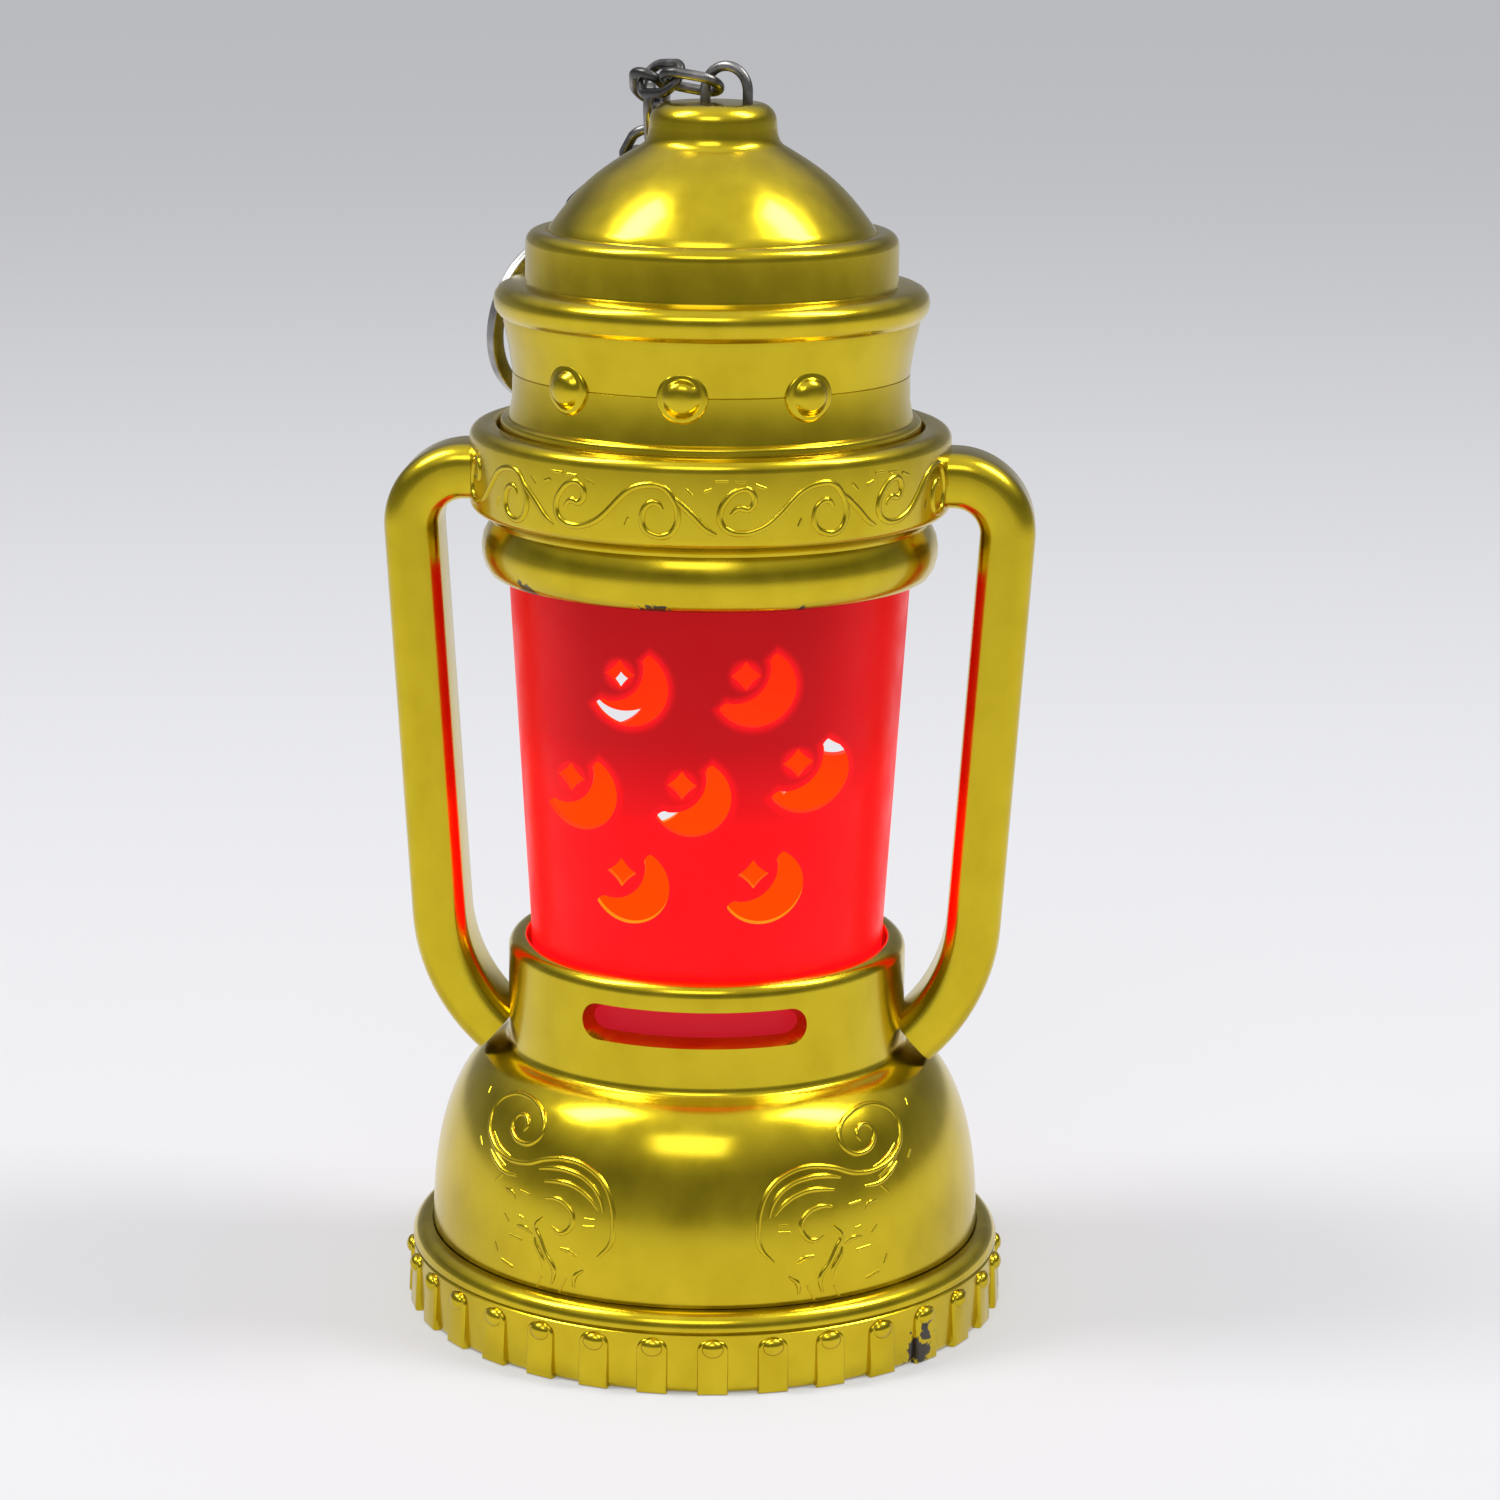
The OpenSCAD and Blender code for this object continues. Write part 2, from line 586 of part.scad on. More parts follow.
// Split ring: two flat turns pressed together, hung in the last link and leaning out past the collar
module split_ring() color("gray") {
    last = len(link_slopes) - 1;
    mid_r = (ring_d - ring_w) / 2;
    hang = hook(last + 1) - ring_back_share * wire_d * link_way(last);
    translate(hang) rotate([0, 0, ring_azimuth]) rotate([0, 90 - ring_lean, 0]) translate([mid_r, 0, 0])
        rotate_extrude($fn = 96) translate([mid_r - ring_w / 2, -ring_t / 2]) square([ring_w, ring_t]);
}

// Lamp holder: a disc under the drum's ledge, with the neck that carries the lamp and three legs
module lamp_holder() color("white") difference() {
    union() {
        translate([0, 0, z_holder]) cylinder(r = holder_r, h = holder_t);
        translate([0, 0, z_holder]) cylinder(r = holder_neck_r, h = holder_t + holder_neck_h);
        at_each(holder_leg_turns, holder_leg_ring_r) translate([0, 0, z_board_top])
            cylinder(r = holder_leg_r, h = z_holder - z_board_top + holder_t / 2);
    }
    for (x = [-1, 1]) translate([x * led_lead_x, 0, z_holder - over]) cylinder(r = led_lead_r + fit_gap, h = holder_t + holder_neck_h + 2 * over, $fn = 24);
}

module lamp() color("red") {
    lens_r = led_d / 2;
    translate([0, 0, z_led]) cylinder(r = led_flange_r, h = led_flange_t);
    translate([0, 0, z_led]) cylinder(r = lens_r, h = led_h - lens_r);
    translate([0, 0, z_led + led_h - lens_r]) sphere(r = lens_r);
    for (x = [-1, 1]) translate([x * led_lead_x, 0, z_board]) cylinder(r = led_lead_r, h = z_led - z_board, $fn = 24);
}

// A place on the board's top, given as shares of the board's radius
module on_board(shares) translate([shares.x * board_d / 2, shares.y * board_d / 2, z_board_top]) children();

module circuit_board() color("darkgreen") difference() {
    translate([0, 0, z_board]) cylinder(r = board_d / 2, h = board_t);
    for (x = [-1, 1]) translate([x * led_lead_x, 0, z_board - over]) cylinder(r = led_lead_r + fit_gap, h = board_t + 2 * over, $fn = 24);
}

module flasher_chip() color("black") on_board(chip_place_shares) intersection() {
    translate([0, 0, chip_h - chip_r * 2]) sphere(r = chip_r * 2);
    cylinder(r = chip_r, h = chip_h);
}

module resistor() color("tan") on_board(resistor_place_shares) translate([0, 0, resistor_r]) {
    rotate([0, 90, 0]) cylinder(r = resistor_r, h = resistor_l, center = true);
    rotate([0, 90, 0]) cylinder(r = resistor_lead_r, h = resistor_lead_l, center = true, $fn = 24);
    for (x = [-1, 1]) translate([x * (resistor_lead_l / 2 - resistor_lead_r), 0, -resistor_r])
        cylinder(r = resistor_lead_r, h = resistor_r, $fn = 24);
}

// Battery tray: a box open at the bottom, with standoffs for the board on its roof
module battery_tray() color("ivory") translate([0, tray_back, z_plate]) difference() {
    union() {
        translate([-tray_l / 2, -tray_w / 2, 0]) cube([tray_l, tray_w, tray_h]);
        for (x = [-1, 1], y = [-1, 1]) translate([x * standoff_x, y * standoff_y - tray_back / 2, tray_h])
            cylinder(r = standoff_r, h = standoff_h);
    }
    translate([-tray_in_l / 2, -tray_in_w / 2, -over]) cube([tray_in_l, tray_in_w, tray_h - wall_t + over]);
}

module cell(i) color("silver") translate([(i - (cell_count + 1) / 2) * cell_t, tray_back, cell_z])
    rotate([0, 90, 0]) cylinder(r = cell_d / 2, h = cell_t, center = true);

// Contacts: a flat one for the row's head, and a sprung one with a pressed dimple for its foot
module contact_plus() color("silver") contact_sheet(1);
module contact_minus() color("silver") contact_sheet(-1);
module contact_sheet(side) {
    face = side * cell_count * cell_t / 2;
    translate([face + side * contact_t, tray_back, cell_z]) {
        cube([contact_t, contact_w, contact_w], center = true);
        rotate([0, 90, 0]) cylinder(r = contact_w / 4, h = 2 * contact_t, center = true);
    }
}

// Battery cover with an ear at each end, and the screw that each ear keeps
module battery_cover() color("goldenrod") translate([0, tray_back, plate_lift]) difference() {
    union() {
        translate([-cover_l / 2, -cover_w / 2, 0]) cube([cover_l, cover_w, plate_t]);
        for (x = [-1, 1]) {
            translate([x * cover_ear_x, 0, 0]) cylinder(r = cover_ear_r, h = cover_ear_t);
            translate([x * (cover_l / 2 + cover_ear_x) / 2, 0, cover_ear_t / 2])
                cube([cover_ear_x - cover_l / 2 + over, 2 * cover_ear_r, cover_ear_t], center = true);
        }
    }
    for (x = [-1, 1]) translate([x * cover_ear_x, 0, -over]) cylinder(r = screw_d / 2 + fit_gap, h = cover_ear_t + 2 * over);
}

module screw(place, l) color("lightgray") translate(place) difference() {
    union() {
        translate([0, 0, -screw_head_t]) cylinder(r = screw_head_r, h = screw_head_t);
        cylinder(r = screw_d / 2, h = l);
    }
    for (turn = [0, 90]) rotate([0, 0, turn]) cube([screw_head_r, screw_head_r / 4, screw_head_t], center = true);
}

module switch_body() color("silver") translate([switch_place.x, switch_place.y, z_plate]) {
    difference() {
        translate([-switch_l / 2, -switch_w / 2, 0]) cube([switch_l, switch_w, switch_h]);
        translate([-switch_l / 2 + switch_wall, -switch_w / 2 + switch_wall, switch_wall])
            cube([switch_l - 2 * switch_wall, switch_w - 2 * switch_wall, slider_t + 2 * fit_gap]);
        translate([switch_travel / 2, 0, 0])
            cube([slider_stem_l + switch_travel + 2 * run_gap, slider_stem_w + 2 * run_gap, 2 * switch_wall + over], center = true);
    }
    for (x = [-1, 0, 1]) translate([x * pin_pitch, 0, switch_h]) cylinder(r = pin_r, h = pin_h, $fn = 24);
}

// The slider stands at its lit end, and the whole travel is towards +X
module switch_slider() color("dimgray") translate([switch_place.x, switch_place.y, 0]) {
    translate([-slider_l / 2, -switch_w / 2 + switch_wall + fit_gap, z_plate + switch_wall + fit_gap])
        cube([slider_l, switch_w - 2 * switch_wall - 2 * fit_gap, slider_t]);
    translate([-slider_stem_l / 2, -slider_stem_w / 2, slider_stem_drop])
        cube([slider_stem_l, slider_stem_w, z_plate + switch_wall + fit_gap - slider_stem_drop]);
}

// Two leads from the switch's pins up to the board, each a run of straight pieces with round joints
cable_red_route = [[-2.5, -9.6, 7.9], [-4.5, -9.9, 10.5], [-5.4, -10, 13.4], [-4.6, -9.2, 16.6]];
cable_black_route = [[2.5, -9.6, 7.9], [4.3, -9.9, 10.5], [5.2, -10, 13.4], [4.6, -9.2, 16.6]];
module wire_red() color("red") cable(cable_red_route);
module wire_black() color("black") cable(cable_black_route);

// A tube through a route's points, as one closed mesh with a ring of corners at each point
module cable(route) {
    sides = 8;
    n = len(route);
    along = [for (i = [0:n - 1]) let (d = route[min(i + 1, n - 1)] - route[max(i - 1, 0)]) d / norm(d)];
    points = [for (i = [0:n - 1]) let (u = cross(along[i], [0, 1, 0]), a = u / norm(u), b = cross(along[i], a))
        for (j = [0:sides - 1]) route[i] + cable_r * (cos(360 * j / sides) * a + sin(360 * j / sides) * b)];
    walls = [for (i = [0:n - 2], j = [0:sides - 1]) let (k = (j + 1) % sides)
        each [[i * sides + j, i * sides + k, (i + 1) * sides + k], [i * sides + j, (i + 1) * sides + k, (i + 1) * sides + j]]];
    polyhedron(points, concat([[for (j = [sides - 1:-1:0]) j]], walls, [[for (j = [0:sides - 1]) (n - 1) * sides + j]]));
}

base_cover();
body_frame();
lamp_sleeve();
top_cap();
hanging_eye();
link_at(first_end, first_azimuth, first_slope, first_lean);  // chain_link_1
later_link(0);  // chain_link_2
later_link(1);  // chain_link_3
later_link(2);  // chain_link_4
later_link(3);  // chain_link_5
later_link(4);  // chain_link_6
later_link(5);  // chain_link_7
later_link(6);  // chain_link_8
split_ring();
lamp_holder();
lamp();
circuit_board();
flasher_chip();
resistor();
battery_tray();
cell(1);  // cell_1
cell(2);  // cell_2
cell(3);  // cell_3
contact_plus();
contact_minus();
battery_cover();
screw([-cover_ear_x, tray_back, plate_lift], z_plate + boss_h - plate_lift - 2 * wall_t);  // cover_screw_left
screw([cover_ear_x, tray_back, plate_lift], z_plate + boss_h - plate_lift - 2 * wall_t);  // cover_screw_right
switch_body();
switch_slider();
wire_red();
wire_black();
rotate([0, 0, screw_turns[0]]) screw([pillar_ring_r, 0, plate_lift], screw_l);  // base_screw_1
rotate([0, 0, screw_turns[1]]) screw([pillar_ring_r, 0, plate_lift], screw_l);  // base_screw_2
rotate([0, 0, screw_turns[2]]) screw([pillar_ring_r, 0, plate_lift], screw_l);  // base_screw_3
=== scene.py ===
import math

import bmesh
import bpy
from mathutils import Matrix, Vector


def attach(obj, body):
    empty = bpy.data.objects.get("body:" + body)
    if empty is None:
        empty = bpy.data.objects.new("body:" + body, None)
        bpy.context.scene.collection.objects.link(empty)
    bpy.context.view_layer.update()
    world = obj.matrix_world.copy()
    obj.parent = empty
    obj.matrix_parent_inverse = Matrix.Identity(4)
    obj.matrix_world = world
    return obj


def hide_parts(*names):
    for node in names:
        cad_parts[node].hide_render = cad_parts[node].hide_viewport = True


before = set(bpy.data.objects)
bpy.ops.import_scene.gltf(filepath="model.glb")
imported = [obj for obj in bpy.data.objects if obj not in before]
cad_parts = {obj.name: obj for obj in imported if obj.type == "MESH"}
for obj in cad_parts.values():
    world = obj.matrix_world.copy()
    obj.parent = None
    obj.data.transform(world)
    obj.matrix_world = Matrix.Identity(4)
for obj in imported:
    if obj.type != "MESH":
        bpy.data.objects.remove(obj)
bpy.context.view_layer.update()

# The photographer's place: in front of the slotted side, a little to the
# lantern's left arm and above its cap, with a long lens.
MM = 0.001
camera = bpy.data.cameras.new("studio_camera")
camera.sensor_width = 36.0
camera.lens = 99.55
camera.clip_start = 0.01
camera.clip_end = 50.0
eye_point = bpy.data.objects.new("studio_camera", camera)
eye_distance, eye_height, eye_azimuth = 319.87 * MM, 120.26 * MM, math.radians(4.0)
eye_point.location = (eye_distance * math.sin(eye_azimuth), -eye_distance * math.cos(eye_azimuth),
                      eye_height)
pan, tilt, roll = math.radians(3.411), math.radians(13.264), math.radians(0.573)
eye_point.rotation_euler = (Matrix.Rotation(pan, 3, "Z") @ Matrix.Rotation(math.pi / 2 - tilt, 3, "X")
                            @ Matrix.Rotation(roll, 3, "Z")).to_euler()
bpy.context.scene.collection.objects.link(eye_point)
bpy.context.scene.camera = eye_point
bpy.context.scene.view_settings.view_transform = "Standard"

# Base cover: a moulded plastic ring with broad ribs and a bead at each rib's
# head, closed by a recessed underside plate and screwed up into the bell.
# Metallised in a thin lemon gold film, which is chipped in two places.


def turned(outline, rounds=(), steps=192, closed=False):
    """A bmesh turned about Z from an outline of (radius, height) in mm, with some corners rounded first."""
    bm = bmesh.new()
    points = [bm.verts.new((x * MM, 0.0, z * MM)) for x, z in outline]
    for a, b in zip(points, points[1:]):
        bm.edges.new((a, b))
    if closed:
        bm.edges.new((points[-1], points[0]))
    for index, radius, cuts in rounds:
        bmesh.ops.bevel(bm, geom=[points[index]], offset=radius * MM, offset_type="OFFSET", segments=cuts,
                        profile=0.5, affect="VERTICES", material=-1)
    bmesh.ops.spin(bm, geom=bm.verts[:] + bm.edges[:], cent=(0, 0, 0), axis=(0, 0, 1), dvec=(0, 0, 0),
                   angle=math.tau, steps=steps, use_merge=True, use_duplicate=False)
    bmesh.ops.remove_doubles(bm, verts=bm.verts, dist=1e-6)
    bmesh.ops.recalc_face_normals(bm, faces=bm.faces)
    return bm


def piece(name, bm, finish, body="lantern", smooth_angle=35.0):
    """A finished object from a bmesh, smooth except at sharp corners, riding on a body of the lantern."""
    mesh = bpy.data.meshes.new(name)
    bm.to_mesh(mesh)
    bm.free()
    obj = bpy.data.objects.new(name, mesh)
    bpy.context.scene.collection.objects.link(obj)
    mesh.shade_smooth()
    mesh.set_sharp_from_angle(angle=math.radians(smooth_angle))
    mesh.materials.append(finish)
    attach(obj, body)
    return obj


def soften(obj, width, angle, cuts=2):
    """A small rounding on every sharp edge, applied, so that mouldings catch a highlight."""
    rounding = obj.modifiers.new("rounding", "BEVEL")
    rounding.width = width * MM
    rounding.segments = cuts
    rounding.limit_method = "ANGLE"
    rounding.angle_limit = math.radians(angle)
    rounding.harden_normals = True
    apply_all(obj)


def apply_all(obj):
    """Applies an object's modifiers to its mesh."""
    bpy.context.view_layer.update()
    done = bpy.data.meshes.new_from_object(obj.evaluated_get(bpy.context.evaluated_depsgraph_get()))
    obj.modifiers.clear()
    old = obj.data
    obj.data = done
    bpy.data.meshes.remove(old)


def cut_away(obj, cutter):
    """Cuts one bmesh out of an object."""
    mesh = bpy.data.meshes.new("cutter")
    bmesh.ops.recalc_face_normals(cutter, faces=cutter.faces)
    cutter.to_mesh(mesh)
    cutter.free()
    tool = bpy.data.objects.new("cutter", mesh)
    bpy.context.scene.collection.objects.link(tool)
    cut = obj.modifiers.new("cut", "BOOLEAN")
    cut.operation = "DIFFERENCE"
    cut.solver = "EXACT"
    cut.use_self = True
    cut.object = tool
    apply_all(obj)
    bpy.data.objects.remove(tool)
    bpy.data.meshes.remove(mesh)


def block(bm, centre, size):
    """Adds a block to a bmesh, by its centre and size in mm."""
    made = bmesh.ops.create_cube(bm, size=1.0)
    bmesh.ops.scale(bm, vec=Vector(size) * MM, verts=made["verts"])
    bmesh.ops.translate(bm, vec=Vector(centre) * MM, verts=made["verts"])


def rod(bm, centre, radius, length):
    """Adds an upright closed cylinder to a bmesh, by its centre, radius and length in mm."""
    made = bmesh.ops.create_cone(bm, cap_ends=True, segments=32, radius1=radius * MM, radius2=radius * MM,
                                 depth=length * MM)
    bmesh.ops.translate(bm, vec=Vector(centre) * MM, verts=made["verts"])


def join(tree, values, *pairs):
    """Sets sockets and links them: values are (node, socket, value), pairs are (from, socket, to, socket)."""
    for node, socket, value in values:
        node.inputs[socket].default_value = value
    for source, out, target, into in pairs:
        tree.links.new(source.outputs[out], target.inputs[into])


def node(tree, kind, **settings):
    """A shader node with its settings."""
    made = tree.nodes.new(kind)
    for name, value in settings.items():
        setattr(made, name, value)
    return made


def ramp(tree, stops):
    """A colour ramp from (place, grey or colour) stops."""
    made = tree.nodes.new("ShaderNodeValToRGB")
    band = made.color_ramp
    while len(band.elements) > 1:
        band.elements.remove(band.elements[-1])
    for i, (place, tone) in enumerate(stops):
        stop = band.elements[0] if i == 0 else band.elements.new(place)
        stop.position = place
        stop.color = (tone, tone, tone, 1) if isinstance(tone, (int, float)) else (*tone, 1)
    return made


def moulded_skin_group():
    """Shared surface of the moulded pieces: waviness, fine grain, faint handling marks and dust in patches."""
    group = bpy.data.node_groups.new("moulded_skin", "ShaderNodeTree")
    for label in ("Wave", "Grain", "Dust"):
        group.interface.new_socket(label, in_out="INPUT", socket_type="NodeSocketFloat").default_value = 1.0
    for label in ("Height", "Marks", "Dust"):
        group.interface.new_socket(label, in_out="OUTPUT", socket_type="NodeSocketFloat")
    start, end = node(group, "NodeGroupInput"), node(group, "NodeGroupOutput")
    place = node(group, "ShaderNodeTexCoord")
    wave, grain, marks = (node(group, "ShaderNodeTexNoise") for _ in range(3))
    specks = node(group, "ShaderNodeTexVoronoi")
    wave_part, grain_part, dust, dust_part = (node(group, "ShaderNodeMath", operation="MULTIPLY")
                                              for _ in range(4))
    both = node(group, "ShaderNodeMath", operation="ADD")
    stretch = node(group, "ShaderNodeMapping")
    speck_edge = ramp(group, [(0.0, 1.0), (0.08, 0.0)])
    patch = ramp(group, [(0.45, 0.0), (0.7, 1.0)])
    join(group, [(wave, "Scale", 260.0), (wave, "Detail", 2.0), (grain, "Scale", 3800.0),
                 (grain, "Detail", 3.0), (marks, "Scale", 300.0), (marks, "Detail", 4.0),
                 (marks, "Roughness", 0.5), (specks, "Scale", 1500.0), (stretch, "Scale", (1.0, 1.0, 0.8))],
         (place, "Object", wave, "Vector"), (place, "Object", grain, "Vector"),
         (place, "Object", stretch, "Vector"), (stretch, "Vector", marks, "Vector"),
         (place, "Object", specks, "Vector"), (wave, "Fac", wave_part, 0), (start, "Wave", wave_part, 1),
         (grain, "Fac", grain_part, 0), (start, "Grain", grain_part, 1),
         (wave_part, "Value", both, 0), (grain_part, "Value", both, 1), (both, "Value", end, "Height"),
         (marks, "Fac", end, "Marks"), (specks, "Distance", speck_edge, "Fac"), (marks, "Fac", patch, "Fac"),
         (speck_edge, "Color", dust, 0), (patch, "Color", dust, 1), (dust, "Value", dust_part, 0),
         (start, "Dust", dust_part, 1), (dust_part, "Value", end, "Dust"))
    return group


moulded_skin = moulded_skin_group()


def over_skin(name, bump):
    """A new material with the moulded skin's height as a bump: the material, its tree, shader and skin."""
    finish = bpy.data.materials.new(name)
    finish.use_nodes = True
    tree = finish.node_tree
    shader = tree.nodes["Principled BSDF"]
    skin = node(tree, "ShaderNodeGroup", node_tree=moulded_skin)
    relief = node(tree, "ShaderNodeBump")
    join(tree, [(relief, "Strength", bump), (relief, "Distance", 0.00003)],
         (skin, "Height", relief, "Height"), (relief, "Normal", shader, "Normal"))
    return finish, tree, shader, skin


def gloss(tree, skin, shader, low, high, marks=(0.0, 1.0)):
    """Roughness that goes from low to high over a range of the skin's marks."""
    shine = node(tree, "ShaderNodeMapRange")
    join(tree, [(shine, "From Min", marks[0]), (shine, "From Max", marks[1]), (shine, "To Min", low),
                (shine, "To Max", high)],
         (skin, "Marks", shine, "Value"), (shine, "Result", shader, "Roughness"))


def gold_film(name, chips=()):
    """Lemon gold film over plastic: metallic, a little wavy, deeper in tone where it is thick.

    It is chipped at a few places, each (turn from the front in degrees, radius, height, size) in mm."""
    finish, tree, shader, skin = over_skin(name, 0.22)
    gloss(tree, skin, shader, 0.17, 0.25, marks=(0.3, 0.7))
    colour, dusty = (node(tree, "ShaderNodeMix", data_type="RGBA") for _ in range(2))
    thick_film, thin_film, dust_tone = (0.58, 0.43, 0.012, 1), (0.66, 0.50, 0.018, 1), (0.75, 0.70, 0.55, 1)
    spread = ramp(tree, [(0.3, 0.0), (0.62, 1.0)])
    join(tree, [(colour, 6, thick_film), (colour, 7, thin_film), (dusty, 7, dust_tone), (skin, "Wave", 0.8),
                (skin, "Grain", 0.10), (skin, "Dust", 0.35), (shader, "Metallic", 1.0),
                (shader, "Coat Weight", 0.15), (shader, "Coat Roughness", 0.10)],
         (skin, "Marks", spread, "Fac"), (spread, "Color", colour, 0), (colour, 2, dusty, 6),
         (skin, "Dust", dusty, 0), (dusty, 2, shader, "Base Color"))
    if chips:
        place = node(tree, "ShaderNodeTexCoord")
        ragged = node(tree, "ShaderNodeTexNoise")
        nearest = None
        for turn, reach, height, size in chips:
            a = math.radians(turn)
            middle = (reach * MM * math.sin(a), -reach * MM * math.cos(a), height * MM)
            gap = node(tree, "ShaderNodeVectorMath", operation="DISTANCE")
            share = node(tree, "ShaderNodeMath", operation="DIVIDE")
            join(tree, [(gap, 1, middle), (share, 1, size * MM)],
                 (place, "Object", gap, 0), (gap, "Value", share, 0))
            if nearest:
                least = node(tree, "ShaderNodeMath", operation="MINIMUM")
                join(tree, [], (nearest, 0, least, 0), (share, 0, least, 1))
                share = least
            nearest = share
        near_part, edge_part = (node(tree, "ShaderNodeMath", operation="MULTIPLY") for _ in range(2))
        rough_edge = node(tree, "ShaderNodeMath", operation="ADD")
        bare = ramp(tree, [(0.46, 1.0), (0.50, 0.0)])
        chipped = node(tree, "ShaderNodeMix", data_type="RGBA")
        metal = node(tree, "ShaderNodeMath", operation="SUBTRACT")
        join(tree, [(ragged, "Scale", 1400.0), (ragged, "Detail", 3.0), (near_part, 1, 0.3),
                    (edge_part, 1, 0.62), (metal, 0, 1.0), (chipped, 7, (0.035, 0.024, 0.012, 1))],
             (place, "Object", ragged, "Vector"), (nearest, 0, near_part, 0), (near_part, 0, rough_edge, 0),
             (ragged, "Fac", rough_edge, 1), (rough_edge, 0, edge_part, 0), (edge_part, 0, bare, "Fac"),
             (dusty, 2, chipped, 6), (bare, "Color", chipped, 0), (chipped, 2, shader, "Base Color"),
             (bare, "Color", metal, 1), (metal, 0, shader, "Metallic"))
    return finish


gold_base = gold_film("gold_film_base", chips=((48.5, 24.0, 1.0, 1.35), (50.0, 24.0, 2.3, 0.7)))
wall_radius = 23.6
cover_outline = [(0, 1.2), (21.45, 1.2), (21.45, 0), (wall_radius, 0), (wall_radius, 4.6), (23.42, 4.76),
                 (23.64, 4.96), (23.64, 6.2), (22.1, 6.2), (22.1, 5.4), (20.5, 5.4), (20.5, 7.2), (19.2, 7.2),
                 (19.2, 2.6), (0, 2.6)]
base = turned(cover_outline, rounds=((3, 0.5, 3), (7, 1.15, 8), (2, 0.3, 2)))
skirt = piece("base_skirt", base, gold_base)
door_place, door_size = 3.6, (17.3, 11.9, 4.0)
lug_place, lug_size = 10.6, (4.2, 4.5, 4.1)
lug_end, lug_radius = 12.6, 2.25
openings = bmesh.new()
block(openings, (0, door_place, 1.0), door_size)
for side in (-1, 1):
    block(openings, (side * lug_place, door_place, 0.0), lug_size)
    rod(openings, (side * lug_end, door_place, 0.0), lug_radius, lug_size[2])
cut_away(skirt, openings)
switch_place, switch_size = (1.0, -9.6, 1.0), (4.8, 2.2, 6.0)
screw_circle, screw_hole, plate_depth = 17.0, 1.0, 6.0
openings = bmesh.new()
block(openings, switch_place, switch_size)
for turn in (90, 210, 330):
    a = math.radians(turn)
    rod(openings, (screw_circle * math.cos(a), screw_circle * math.sin(a), 1.0), screw_hole, plate_depth)
cut_away(skirt, openings)
soften(skirt, 0.12, angle=40)
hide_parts("base_cover")

rib_count, rib_width, rib_height, rib_depth, rib_sunk, rib_lean = 32, 2.36, 4.3, 0.4, 0.25, 0.22
rib_shoulder, rib_rim = 0.8, 0.18
bead_size, bead_out, bead_down = (0.52, 0.86, 0.72), 0.1, 0.66


def one_rib():
    """One rib about the X axis: a block with round shoulders, leant to the wall, and a low bead at its head."""
    bm = bmesh.new()
    block(bm, (wall_radius - rib_sunk, 0, rib_height / 2), (2 * (rib_depth + rib_sunk), rib_width, rib_height))
    shoulders = [e for e in bm.edges if all(v.co.z > 1 * MM for v in e.verts)
                 and abs(e.verts[0].co.x - e.verts[1].co.x) > 0.1 * MM]
    bmesh.ops.bevel(bm, geom=shoulders, offset=rib_shoulder * MM, offset_type="OFFSET", segments=6,
                    profile=0.5, affect="EDGES", material=-1)
    rim = [e for e in bm.edges if all(v.co.x > wall_radius * MM for v in e.verts)]
    bmesh.ops.bevel(bm, geom=rim, offset=rib_rim * MM, offset_type="OFFSET", segments=3, profile=0.5,
                    affect="EDGES", material=-1)
    for v in bm.verts:
        v.co.x -= rib_lean * max(v.co.z, 0.0) / rib_height
    bead = bmesh.ops.create_uvsphere(bm, u_segments=24, v_segments=14, radius=1.0 * MM)["verts"]
    bmesh.ops.scale(bm, vec=bead_size, verts=bead)
    bmesh.ops.translate(bm, vec=((wall_radius + bead_out) * MM, 0, (rib_height - bead_down) * MM), verts=bead)
    return bm


def set_round(make, turns):
    """Copies of a small bmesh set round the Z axis, in one bmesh; the turns are in degrees from the front."""
    whole = bmesh.new()
    for turn in turns:
        one = make()
        bmesh.ops.rotate(one, cent=(0, 0, 0), verts=one.verts,
                         matrix=Matrix.Rotation(math.radians(turn - 90), 3, "Z"))
        mesh = bpy.data.meshes.new("one_of_many")
        one.to_mesh(mesh)
        one.free()
        whole.from_mesh(mesh)
        bpy.data.meshes.remove(mesh)
    return whole


ribs = set_round(one_rib, [360 * (i + 0.5) / rib_count for i in range(rib_count)])
rib_ring = piece("base_ribs", ribs, gold_base, smooth_angle=50)

# Frame, foot: the bell and the slotted drum are one moulding with the arms and
# the collar, in the same plated plastic. A ledge inside carries the sleeve.
gold_frame = gold_film("gold_film_frame", chips=((-48.2, 17.1, 59.3, 1.1), (-8.5, 16.9, 59.2, 0.9),
                                                 (-12.0, 16.9, 59.2, 0.7), (27.5, 17.0, 59.2, 0.5)))
bell_core, bell_reach, bell_rise, bell_foot, bell_power, bell_end = 14.0, 8.0, 16.1, 5.4, 2.4, 16.1


def bell_radius(height):
    """The bell's outer radius at a height, in mm."""
    share = min(max((height - bell_foot) / bell_rise, 0.0), 1.0)
    return bell_core + bell_reach * (1 - share ** bell_power) ** (1 / bell_power)


